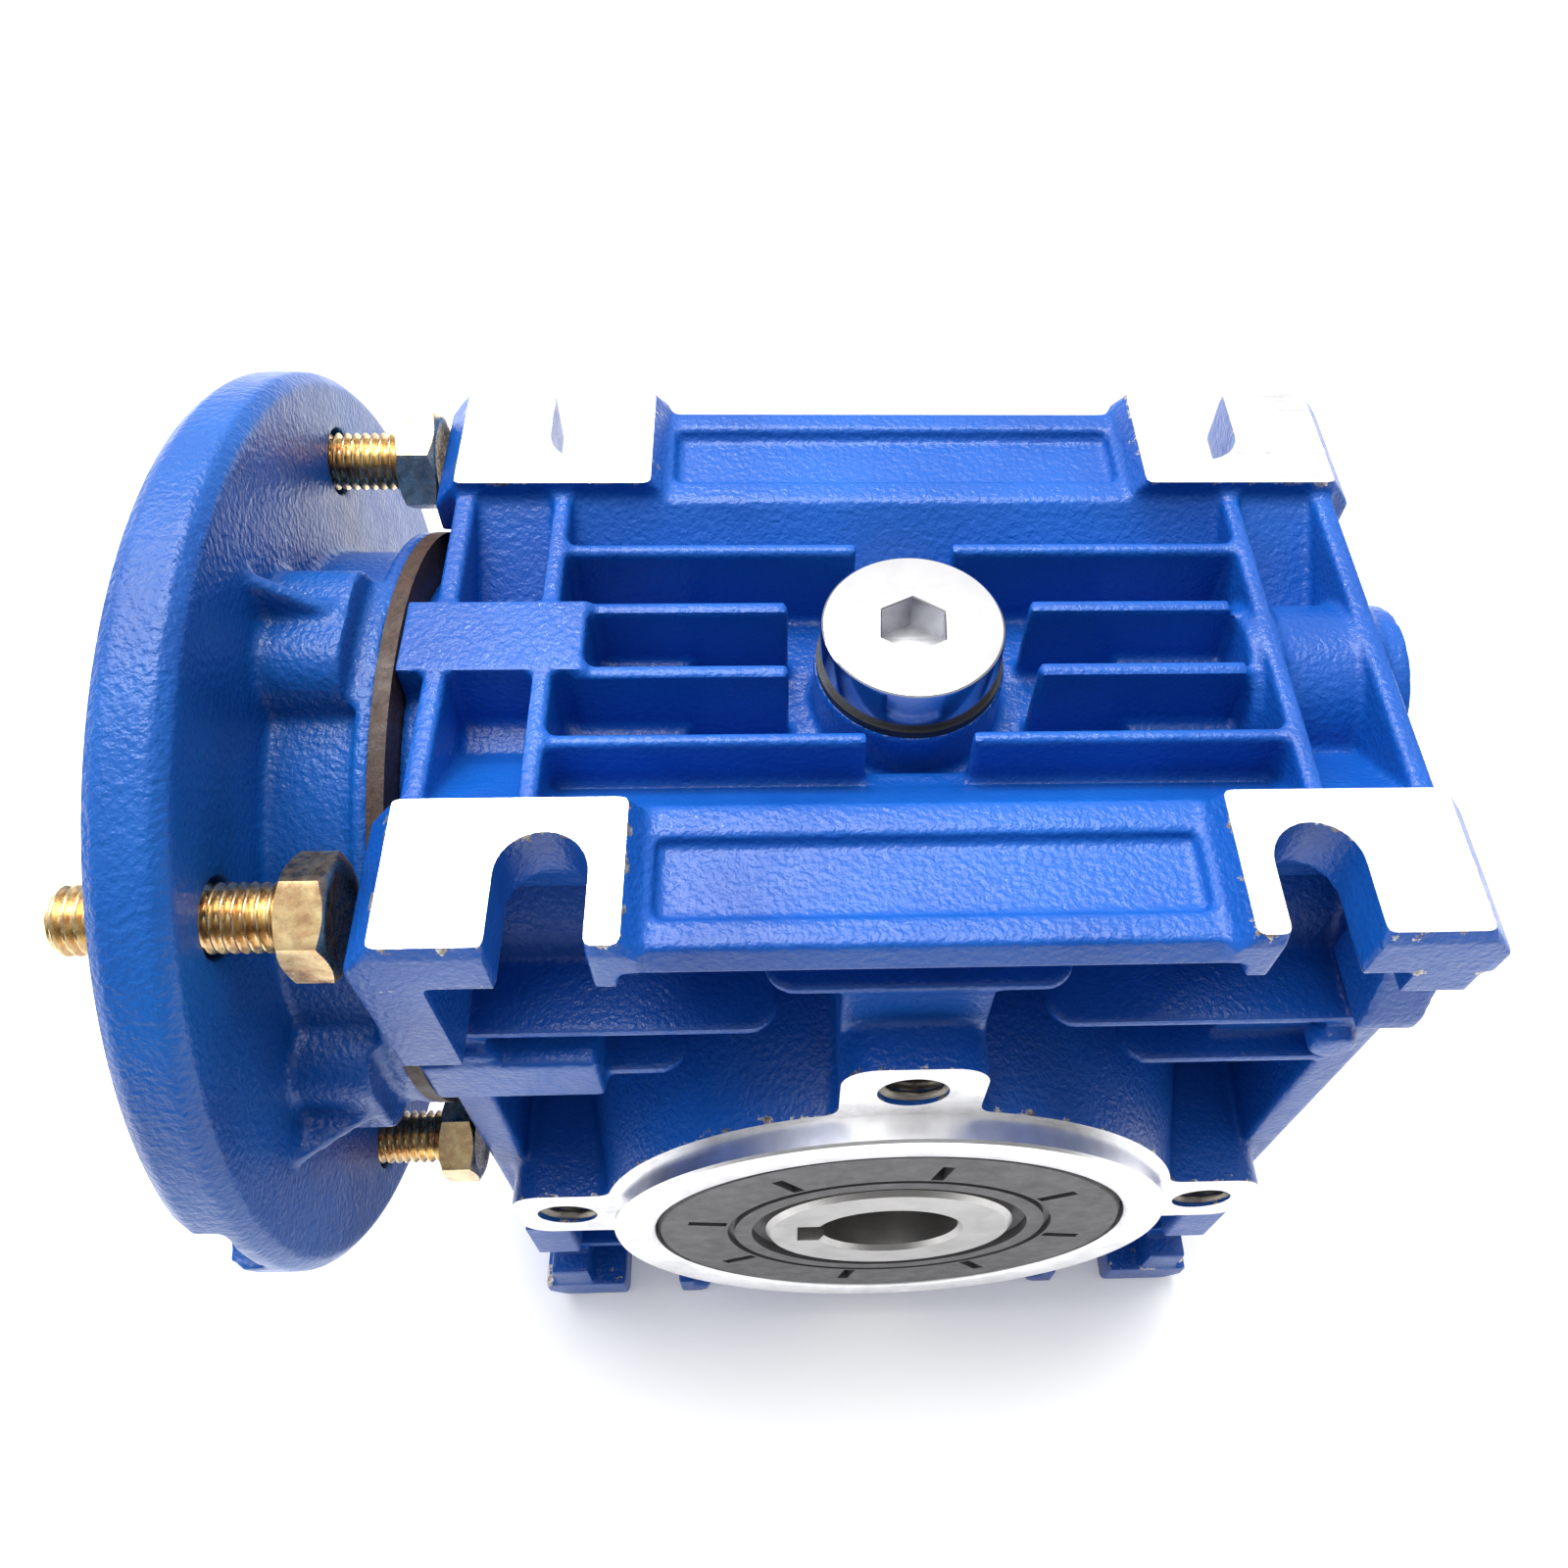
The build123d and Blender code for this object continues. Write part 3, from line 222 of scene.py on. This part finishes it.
def milled_metal(name, base, rough):
    """Milled aluminium with fine cutter marks along X and a little tarnish."""
    m = Nodes(name)
    stretch = m.add("ShaderNodeMapping")
    stretch.inputs["Scale"].default_value = (60, 3200, 3200)
    m.join(m.place, stretch.inputs["Vector"])
    lines = m.noise(1.0, 4.0, 0.6, 0.0, stretch.outputs[0])
    m.colour(m.noise(500, 4, 0.6), [(0.3, darker(base, 0.78)), (0.55, base)])
    m.roughness(lines, rough)
    m.relief(lines, 0.25, 0.00003)
    m.set(Metallic=1.0)
    return m.material


def turned_metal(name, base, axis, centre, rough):
    """Lathe-turned metal: fine rings about an axis."""
    ring_scale = 14000
    m = Nodes(name)
    path = m.math("ADD", m.radius(axis, centre), m.axis(axis))
    combine = m.add("ShaderNodeCombineXYZ")
    m.join(m.math("MULTIPLY", path, ring_scale), combine.inputs[0])
    rings = m.noise(1.0, 3.0, 0.6, 0.0, combine.outputs[0])
    m.colour(m.noise(240, 3, 0.6), [(0.32, darker(base, 0.8)), (0.6, base)])
    m.roughness(rings, rough)
    m.relief(rings, 0.3, 0.00002)
    m.set(Metallic=1.0)
    return m.material


def moulded_rubber(name, base):
    """Matt rubber with a fine grain."""
    m = Nodes(name)
    light = tuple(min(1.0, c * 1.3 + 0.004) for c in base[:3]) + (1.0,)
    m.colour(m.noise(170, 3, 0.5), [(0.35, base), (0.7, light)])
    m.roughness(m.noise(600, 3, 0.6), (0.42, 0.62))
    m.relief(m.noise(1800, 3, 0.6), 0.25, 0.00006)
    return m.material


def plated_metal(name, base, second, rough, scale, strength):
    """Plated metal with cloudy colour and faint scratches."""
    m = Nodes(name)
    m.colour(m.noise(scale, 4, 0.6, 0.6), [(0.32, second), (0.62, base)])
    m.roughness(m.noise(scale * 2.3, 4, 0.6), rough, (0.3, 0.75))
    m.relief(m.noise(2500, 3, 0.7), strength, 0.00002)
    m.set(Metallic=1.0)
    return m.material


def fibre_gasket(name):
    """Dark pressed fibre."""
    m = Nodes(name)
    fibres = m.noise(1400, 5, 0.7, 1.5)
    m.colour(fibres, [(0.35, srgb(30, 20, 15)), (0.7, srgb(84, 58, 42))])
    m.roughness(m.noise(700, 3, 0.5), (0.45, 0.7))
    m.relief(fibres, 0.5, 0.0001)
    return m.material


OUTPUT_LINE = ("Y", (0.0, 0.0, 0.0))
WORM_LINE = ("X", (0.0, 0.0, WORM_Z * MM))
BLUE = (srgb(14, 80, 166), srgb(18, 88, 177), srgb(10, 69, 151))
FLANGE_BLUE = (srgb(15, 82, 162), srgb(20, 91, 173), srgb(11, 70, 147))
BRIGHT_STEEL = (0.62, 0.62, 0.63, 1)

paint = cast_paint("enamel_blue", *BLUE, [("Z", TOP, 1), ("Z", BASE, -1), ("Y", -EAR_FACE, -1)])
paint_cover = cast_paint("enamel_blue_cover", *BLUE, [("Y", EAR_FACE, 1)])
paint_flange = cast_paint("enamel_blue_flange", *FLANGE_BLUE, peel_strength=0.95)
milled = milled_metal("milled_aluminium", (0.91, 0.91, 0.92, 1), (0.28, 0.45))
milled_side = milled_metal("milled_aluminium_side", (0.68, 0.68, 0.69, 1), (0.3, 0.5))
turned_alu = turned_metal("turned_aluminium", (0.93, 0.93, 0.94, 1), *OUTPUT_LINE, (0.26, 0.46))
turned_steel = turned_metal("ground_steel", (0.52, 0.51, 0.50, 1), *OUTPUT_LINE, (0.25, 0.42))
worm_steel = turned_metal("worm_steel", (0.50, 0.49, 0.48, 1), *WORM_LINE, (0.22, 0.4))
bearing_steel = turned_metal("bearing_steel", BRIGHT_STEEL, *OUTPUT_LINE, (0.12, 0.26))
worm_bearing_steel = turned_metal("worm_bearing_steel", BRIGHT_STEEL, *WORM_LINE, (0.12, 0.26))
bronze = turned_metal("bronze", (0.66, 0.44, 0.2, 1), *OUTPUT_LINE, (0.25, 0.4))
seal_grey = moulded_rubber("seal_grey", srgb(72, 70, 72))
rubber_black = moulded_rubber("rubber_black", (0.012, 0.012, 0.013, 1))
gasket = fibre_gasket("gasket_fibre")
ball_steel = plated_metal("ball_steel", (0.8, 0.8, 0.81, 1), (0.7, 0.7, 0.72, 1),
                          (0.04, 0.1), 200, 0.03)
cage_steel = plated_metal("cage_steel", (0.55, 0.54, 0.53, 1), (0.42, 0.41, 0.4, 1),
                          (0.3, 0.5), 400, 0.3)
spring_steel = plated_metal("spring_steel", (0.2, 0.2, 0.21, 1), (0.12, 0.12, 0.13, 1),
                            (0.28, 0.45), 500, 0.3)
zinc_gold = plated_metal("zinc_gold", srgb(236, 212, 160), srgb(190, 148, 108),
                         (0.2, 0.4), 620, 0.6)
# Threads darker than the aluminium they are cut in: painted shade of the deep holes.
thread_metal_painted_shade = plated_metal("tapped_thread_painted_shade", (0.36, 0.33, 0.28, 1), (0.2, 0.18, 0.16, 1),
                            (0.4, 0.6), 500, 0.4)
plug_side = plated_metal("plug_side", (0.5, 0.51, 0.56, 1), (0.42, 0.43, 0.48, 1),
                         (0.1, 0.2), 220, 0.06)
plug_plate = plated_metal("plug_plate", (0.93, 0.93, 0.94, 1), (0.86, 0.86, 0.88, 1),
                          (0.1, 0.2), 220, 0.06)
screw_black = plated_metal("screw_black", (0.05, 0.05, 0.055, 1), (0.03, 0.03, 0.032, 1),
                           (0.3, 0.45), 700, 0.3)


def give(material, *names):
    """Make a material the only one of some CAD nodes."""
    for name in names:
        nodes[name].data.materials.clear()
        nodes[name].data.materials.append(material)


def dress_nodes():
    give(paint, "housing")
    give(paint_cover, "output_cover")
    give(paint_flange, "input_flange")
    give(turned_steel, "output_hollow_shaft")
    give(worm_steel, "worm_shaft")
    give(bronze, "worm_wheel_rim")
    give(screw_black, "cover_screws", "flange_screws")
    give(gasket, "flange_gasket")
    give(seal_grey, "output_front_seal", "output_rear_seal")
    give(rubber_black, "cover_o_ring", "oil_plug_o_ring", "input_seal_ring", "rear_end_cap")
    give(plug_plate, "oil_plug")
    give(spring_steel, "input_bore_circlip", "rear_bore_circlip", "worm_front_circlip",
         "worm_rear_circlip")
    give(zinc_gold, *(f"motor_bolt_{number}" for number in range(1, 5)))
    for bearing, steel in (("output_front", bearing_steel), ("output_rear", bearing_steel),
                           ("worm_input", worm_bearing_steel), ("worm_rear", worm_bearing_steel)):
        give(steel, f"{bearing}_bearing_outer_ring", f"{bearing}_bearing_inner_ring")
        give(ball_steel, f"{bearing}_bearing_balls")
        give(cage_steel, f"{bearing}_bearing_cage")


# ------------------------------------------------------------------ mesh helpers
def object_from(name, bm, materials, body, smooth_angle):
    """A new piece from a bmesh built in millimetres."""
    bm.normal_update()
    mesh = bpy.data.meshes.new(name)
    bm.to_mesh(mesh)
    bm.free()
    mesh.transform(Matrix.Scale(MM, 4))
    for material in materials:
        mesh.materials.append(material)
    mesh.shade_smooth()
    mesh.set_sharp_from_angle(angle=radians(smooth_angle))
    piece = bpy.data.objects.new(name, mesh)
    bpy.context.scene.collection.objects.link(piece)
    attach(piece, body)
    return piece


def mesh_of(node):
    """A bmesh copy of a CAD node in millimetres."""
    bm = bmesh.new()
    bm.from_mesh(nodes[node].data)
    bmesh.ops.scale(bm, vec=(1 / MM,) * 3, verts=bm.verts)
    bmesh.ops.remove_doubles(bm, verts=bm.verts, dist=0.0005)
    return bm


def cast_mesh(bm, most_faces):
    """Rounded casting: remesh in voxels, soften, then thin the flat areas out to a face count."""
    mesh = bpy.data.meshes.new("casting_source")
    bm.to_mesh(mesh)
    bm.free()
    rough = bpy.data.objects.new("casting_source", mesh)
    bpy.context.scene.collection.objects.link(rough)
    remesh = rough.modifiers.new("voxels", "REMESH")
    remesh.mode = "VOXEL"
    remesh.voxel_size = VOXEL
    remesh.use_smooth_shade = True
    relax = rough.modifiers.new("soften", "SMOOTH")
    relax.factor = 0.5
    relax.iterations = SOFTEN
    bpy.context.view_layer.update()
    graph = bpy.context.evaluated_depsgraph_get()
    triangles = len(rough.evaluated_get(graph).data.polygons) * 2
    if triangles > most_faces:
        rough.modifiers.new("thin", "DECIMATE").ratio = most_faces / triangles
    graph = bpy.context.evaluated_depsgraph_get()
    result = bmesh.new()
    result.from_mesh(bpy.data.meshes.new_from_object(rough.evaluated_get(graph)))
    bpy.data.objects.remove(rough)
    return result


def mill(bm, plane, normal, material_index):
    """Machine flat: cut away everything beyond the plane and close the cut with flat faces."""
    geometry = bm.verts[:] + bm.edges[:] + bm.faces[:]
    cut = bmesh.ops.bisect_plane(bm, geom=geometry, dist=1e-6, plane_co=plane, plane_no=normal,
                                 clear_outer=True)
    rim = [e for e in cut["geom_cut"] if isinstance(e, bmesh.types.BMEdge) and e.is_boundary]
    made = bmesh.ops.triangle_fill(bm, use_beauty=True, use_dissolve=False, edges=rim,
                                   normal=Vector(normal))
    for face in made["geom"]:
        if isinstance(face, bmesh.types.BMFace):
            face.material_index = material_index


def turned_point(stance, along, radius, angle):
    """A point of a turned shape; the stance is its origin, its axis and two sides."""
    origin, axis, side_a, side_b = stance
    return origin + axis * along + side_a * (radius * cos(angle)) + side_b * (radius * sin(angle))


def turns(segments):
    """The angles of a whole turn."""
    return [2 * pi * step / segments for step in range(segments)]


def hexagon(angle, half_flats):
    """Radius of a hexagon's outline at an angle."""
    folded = (angle + pi / 6) % (pi / 3) - pi / 6
    return half_flats / cos(folded)


def skin(bm, rings):
    """Quads between neighbouring rings of vertices, returned row by row."""
    rows = []
    for a, b in zip(rings, rings[1:]):
        quads = zip(a, a[1:] + a[:1], b[1:] + b[:1], b)
        rows.append([bm.faces.new(quad) for quad in quads])
    return rows


# ------------------------------------------------------------------ castings
def replace_with_casting(name, node, bm, materials, cuts, most_faces):
    """Turn a bmesh of a casting into the shown piece; cuts are (point, normal) planes milled flat."""
    cast = cast_mesh(bm, most_faces)
    for point, normal in cuts:
        mill(cast, point, normal, 1)
    piece = object_from(name, cast, materials, "base", 42)
    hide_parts(node)


def open_ring_seat(v, side):
    """Widen the bore round an output seal, on the side whose Y has the given sign."""
    reach = sqrt(v.co.x ** 2 + v.co.z ** 2)
    if side * v.co.y > RING_DEPTH and SEAL_BORE - 0.2 < reach < SEAL_BORE + 0.9:
        v.co.x *= RING_SEAT / reach
        v.co.z *= RING_SEAT / reach


def open_far_ear_holes(v):
    """Widen the far ears' tapped holes to the thread's full size."""
    deep_end = 17.5
    for angle in turns(4):
        ear_x, ear_z = EAR_CIRCLE * cos(angle), EAR_CIRCLE * sin(angle)
        out_x, out_z = v.co.x - ear_x, v.co.z - ear_z
        reach = sqrt(out_x ** 2 + out_z ** 2)
        if v.co.y > deep_end and abs(reach - EAR_TAP) < 0.2:
            v.co.x = ear_x + out_x * EAR_HOLE / reach
            v.co.z = ear_z + out_z * EAR_HOLE / reach


def build_housing():
    bm = mesh_of("housing")
    for v in bm.verts:
        if abs(v.co.z - TOP) < 0.01:
            v.co.z += PROUD
        elif abs(v.co.z - BASE) < 0.01:
            v.co.z -= PROUD
        open_ring_seat(v, -1)
        if v.co.y < -EAR_FACE + 0.01:
            v.co.y = -EAR_FACE - PROUD
    cuts = [((0, 0, TOP), (0, 0, 1)), ((0, 0, BASE), (0, 0, -1)), ((0, -EAR_FACE, 0), (0, -1, 0))]
    replace_with_casting("housing_casting", "housing", bm, [paint, milled], cuts, 190000)


def build_cover():
    bm = mesh_of("output_cover")
    for v in bm.verts:
        open_ring_seat(v, 1)
        open_far_ear_holes(v)
        if v.co.y > EAR_FACE - 0.01:
            v.co.y = EAR_FACE + PROUD
    cuts = [((0, EAR_FACE, 0), (0, 1, 0))]
    replace_with_casting("cover_casting", "output_cover", bm, [paint_cover, milled_side],
                         cuts, 80000)


def build_flange():
    bm = mesh_of("input_flange")
    proud = 0.5
    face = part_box("input_flange")[0][0] / MM
    for v in bm.verts:
        if abs(v.co.x - face) < 0.01:
            v.co.x -= proud
    cuts = [((face, 0, 0), (-1, 0, 0))]
    replace_with_casting("flange_casting", "input_flange", bm, [paint_flange, milled_side],
                         cuts, 110000)


def register_ring(name, side):
    """Turned register, face and seal bore on one side of the box."""
    outline = [(24.4, SEAL_BORE), (31.2, SEAL_BORE), (31.44, 23.72), (31.5, 23.9), (31.5, 27.1),
               (31.42, 27.3), (31.15, 27.5), (28.7, 27.5), (28.7, 25.0), (24.4, 25.0)]
    bm = bmesh.new()
    sections = [[bm.verts.new((radius * sin(angle), side * along, radius * cos(angle)))
                 for along, radius in outline] for angle in turns(192)]
    skin(bm, sections + sections[:1])
    bmesh.ops.recalc_face_normals(bm, faces=bm.faces)
    object_from(name, bm, [turned_alu], "base", 30)


def internal_thread(bm, stance, radius, pitch, length, segments=40, steps=8):
    """A sleeve with a real internal thread, running in from its countersunk mouth."""
    depth = 0.54 * pitch
    wall = 0.3
    rings = []
    for k in range(int(length / pitch * steps) + 1):
        along = k / steps * pitch
        fade = min(1.0, along / (0.9 * pitch))
        countersink = 0.25 * max(0.0, 1 - along / 0.45)
        ring = []
        for step, angle in enumerate(turns(segments)):
            phase = (k / steps + step / segments) % 1.0
            tooth = max(0.0, min(1.0, 1.35 - abs(phase - 0.5) * 3.1))
            r = radius - depth * tooth * fade + countersink
            ring.append(bm.verts.new(turned_point(stance, along, r, angle)))
        rings.append(ring)
    for end in (along, 0.0):
        rings.append([bm.verts.new(turned_point(stance, end, radius + wall, angle))
                      for angle in turns(segments)])
    skin(bm, rings + rings[:1])


def ear_threads(name, side):
    """The four threads in the ears of one side, their mouths just inside the milled faces."""
    pitch, length, inset = 1.0, 10.5, 0.04
    bm = bmesh.new()
    for angle in turns(4):
        mouth = Vector((EAR_CIRCLE * cos(angle), side * (EAR_FACE - inset), EAR_CIRCLE * sin(angle)))
        stance = (mouth, Vector((0, -side, 0)), Vector((1, 0, 0)), Vector((0, 0, 1)))
        internal_thread(bm, stance, EAR_HOLE, pitch, length)
    bmesh.ops.recalc_face_normals(bm, faces=bm.faces)
    object_from(name, bm, [thread_metal_painted_shade], "base", 50)


# ------------------------------------------------------------------ bolts and plug
def external_thread(bm, stance, start, end, radius, pitch, segments=36, steps=8):
    """Closed shank with a real thread that runs out under the head and has a chamfered tip."""
    depth = 0.58 * pitch
    chamfer, chamfer_length = 0.75, 0.8
    length = end - start
    rings = []
    for k in range(int(length / pitch * steps) + 1):
        along = k / steps * pitch
        near_end = min(1.0, (length - along) / (1.1 * pitch) + 0.15)
        near_head = min(1.0, along / (1.3 * pitch))
        tip = radius - chamfer * max(0.0, 1 - (length - along) / chamfer_length)
        ring = []
        for step, angle in enumerate(turns(segments)):
            phase = (k / steps - step / segments) % 1.0
            valley = max(0.0, min(1.0, abs(phase - 0.5) * 2.9 - 0.28))
            r = radius - depth * (1 - (1 - valley) * near_end) * (0.35 + 0.65 * near_head)
            ring.append(bm.verts.new(turned_point(stance, start + along, min(r, tip), angle)))
        rings.append(ring)
    skin(bm, rings)
    bm.faces.new(rings[0])
    bm.faces.new(rings[-1][::-1])


def hex_head(bm, stance, bottom, height, flats, segments=96):
    """Hex head with a chamfered crown, rounded corners and a shallow dish."""
    inscribed = flats / 2 * 0.985
    corner = flats / 2 * 1.145

    def profile(r):
        """Height and reach of each ring, where the hexagon's outline has the radius r."""
        inner = min(r, inscribed)
        beyond = max(0.0, r - inscribed)
        return [(0.0, inner - 0.3), (0.12, inner), (0.12 + 0.55 * beyond, r),
                (height - 0.05 - 0.62 * beyond, r), (height - 0.05, inner - 0.02),
                (height, inner - 0.22), (height, inscribed * 0.82),
                (height - 0.16, inscribed * 0.74), (height - 0.2, inscribed * 0.3)]

    columns = []
    for angle in turns(segments):
        outline = min(hexagon(angle, flats / 2), corner)
        columns.append([bm.verts.new(turned_point(stance, bottom + rise, reach, angle))
                        for rise, reach in profile(outline)])
    rings = [list(ring) for ring in zip(*columns)]
    skin(bm, rings)
    bm.faces.new(rings[0][::-1])
    bm.faces.new(rings[-1])


def build_bolts():
    """M5 bolts with their heads towards the box, each turned a little differently."""
    head, flats, radius, pitch = 3.5, 8.0, 2.5, 0.8
    overlap = 0.2
    spacing = MOTOR_BOLT_CIRCLE / sqrt(2)
    forward = Vector((1, 0, 0))
    places = ((-1, 1, -3), (1, 1, 41), (-1, -1, 3), (1, -1, 52))
    for number, (side_y, side_z, degrees) in enumerate(places, 1):
        node = f"motor_bolt_{number}"
        low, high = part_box(node)
        seat, tip = high[0] / MM - head, low[0] / MM
        centre = Vector((0, side_y * spacing, WORM_Z + side_z * spacing))
        spin = radians(degrees)
        side_a = Vector((0, cos(spin), sin(spin)))
        side_b = Vector((0, -sin(spin), cos(spin)))
        bm = bmesh.new()
        hex_head(bm, (centre, forward, side_a, side_b), seat, head, flats)
        shank = (centre, -forward, side_a, -side_b)
        external_thread(bm, shank, -seat - overlap, -tip, radius, pitch)
        bmesh.ops.recalc_face_normals(bm, faces=bm.faces)
        piece = object_from(f"bolt_m5_{number}", bm, [zinc_gold], node, 28)
        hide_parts(node)


def build_plug():
    """Turned plug with a rounded rim and a plain hexagon socket."""
    low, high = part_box("oil_plug")
    top, bottom = high[2] / MM, low[2] / MM
    collar = 52.1
    radius, shank = 7.3, 4.99
    key, key_depth, key_turn = 2.5, 3.4, radians(3)
    stance = (Vector((0, 0, 0)), Vector((0, 0, 1)), Vector((1, 0, 0)), Vector((0, 1, 0)))
    angles = turns(120)
    bm = bmesh.new()

    def ring(r, z):
        return [bm.verts.new(turned_point(stance, z, r, angle)) for angle in angles]

    def socket_ring(z, wider=0.0):
        return [bm.verts.new(turned_point(stance, z, hexagon(angle + key_turn, key + wider), angle))
                for angle in angles]

    side = [ring(shank, bottom), ring(shank, collar), ring(radius - 0.3, collar),
            ring(radius - 0.08, collar + 0.08), ring(radius, collar + 0.3),
            ring(radius, top - 0.3), ring(radius - 0.07, top - 0.12), ring(radius - 0.22, top - 0.02)]
    face = [side[-1], ring(radius - 0.34, top), socket_ring(top, 0.08), socket_ring(top - 0.1)]
    socket = [face[-1], socket_ring(top - key_depth)]
    for rings, material_index in ((side, 1), (face, 0), (socket, 1)):
        for row in skin(bm, rings):
            for quad in row:
                quad.material_index = material_index
    bm.faces.new(side[0][::-1])
    bm.faces.new(socket[-1]).material_index = 2
    bmesh.ops.recalc_face_normals(bm, faces=bm.faces)
    materials = [plug_plate, plug_side, milled]
    piece = object_from("oil_plug_turned", bm, materials, "base", 24)
    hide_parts("oil_plug")


# ------------------------------------------------------------------ stage, light and camera
def build_stage():
    half_size = 3000.0
    corners = ((-half_size, -half_size), (half_size, -half_size), (half_size, half_size),
               (-half_size, half_size))
    bm = bmesh.new()
    bm.faces.new([bm.verts.new((x, y, BASE)) for x, y in corners])
    mesh = bpy.data.meshes.new("floor")
    bm.to_mesh(mesh)
    bm.free()
    mesh.transform(Matrix.Scale(MM, 4))
    floor = bpy.data.objects.new("floor", mesh)
    bpy.context.scene.collection.objects.link(floor)
    m = Nodes("white_table_painted_glow")
    m.colour(m.noise(9, 2, 0.5), [(0.3, (0.93, 0.93, 0.935)), (0.7, (0.96, 0.96, 0.96))])
    # The table glows faintly by emission: painted light that lightens the box's shadow on it.
    m.set(Roughness=0.55, Emission_Color=(1, 1, 1, 1), Emission_Strength=0.18)
    mesh.materials.append(m.material)


def area_light(name, place, target, size, power, colour=(1, 1, 1)):
    light = bpy.data.lights.new(name, "AREA")
    light.shape = "RECTANGLE"
    light.size, light.size_y = size
    light.energy = power
    light.color = colour
    holder = bpy.data.objects.new(name, light)
    holder.location = place
    holder.rotation_euler = (Vector(target) - Vector(place)).to_track_quat("-Z", "Y").to_euler()
    bpy.context.scene.collection.objects.link(holder)


def build_lights():
    """A sky that is brightest above and behind the box, a ceiling, a window and a small lamp."""
    world = bpy.data.worlds.new("studio")
    world.use_nodes = True
    tree = world.node_tree
    background = tree.nodes["Background"]
    where = tree.nodes.new("ShaderNodeTexCoord")
    lean = tree.nodes.new("ShaderNodeVectorMath")
    lean.operation = "DOT_PRODUCT"
    lean.inputs[1].default_value = (-0.1, 0.4, 0.88)
    tree.links.new(where.outputs["Generated"], lean.inputs[0])
    ramp = tree.nodes.new("ShaderNodeValToRGB")
    for element, (position, grey) in zip(ramp.color_ramp.elements, ((0.0, 0.13), (0.85, 1.0))):
        element.position = position
        element.color = (grey, grey, grey * 1.01, 1)
    tree.links.new(lean.outputs["Value"], ramp.inputs["Fac"])
    tree.links.new(ramp.outputs["Color"], background.inputs["Color"])
    background.inputs["Strength"].default_value = 1.05
    bpy.context.scene.world = world
    area_light("ceiling", (-0.1, 0.2, 1.1), (0, 0, 0.02), (0.9, 0.5), 13.5)
    area_light("window", (-0.6, 0.35, 0.75), (0, 0, 0.02), (0.5, 0.6), 4, (0.98, 0.99, 1.0))
    area_light("lamp", (-0.1, 0.3, 0.5), (0, 0, 0.05), (0.05, 0.05), 0.8)


def build_camera():
    """The camera, by its place in millimetres, two directions, its roll, lens and shifts."""
    place = Vector((-10.8, -66.2, 133.4))
    azimuth, elevation, roll = radians(-4.32), radians(55.50), radians(2.96)
    right = Vector((cos(azimuth), sin(azimuth), 0))
    forward = Vector((-sin(azimuth) * cos(elevation), cos(azimuth) * cos(elevation), -sin(elevation)))
    up = right.cross(forward)
    right, up = cos(roll) * right + sin(roll) * up, -sin(roll) * right + cos(roll) * up
    camera = bpy.data.cameras.new("camera")
    camera.sensor_width = 36
    camera.lens = 29.477
    camera.shift_x = -0.0308
    camera.shift_y = -0.0088
    camera.clip_start = 0.01
    holder = bpy.data.objects.new("camera", camera)
    matrix = Matrix((right, up, -forward)).transposed().to_4x4()
    matrix.translation = place * MM
    holder.matrix_world = matrix
    bpy.context.scene.collection.objects.link(holder)
    bpy.context.scene.camera = holder


dress_nodes()
build_housing()
build_cover()
build_flange()
register_ring("front_register", -1)
register_ring("rear_register", 1)
ear_threads("front_ear_threads", -1)
ear_threads("rear_ear_threads", 1)
build_bolts()
build_plug()
build_stage()
build_lights()
build_camera()
bpy.context.scene.view_settings.view_transform = "Standard"
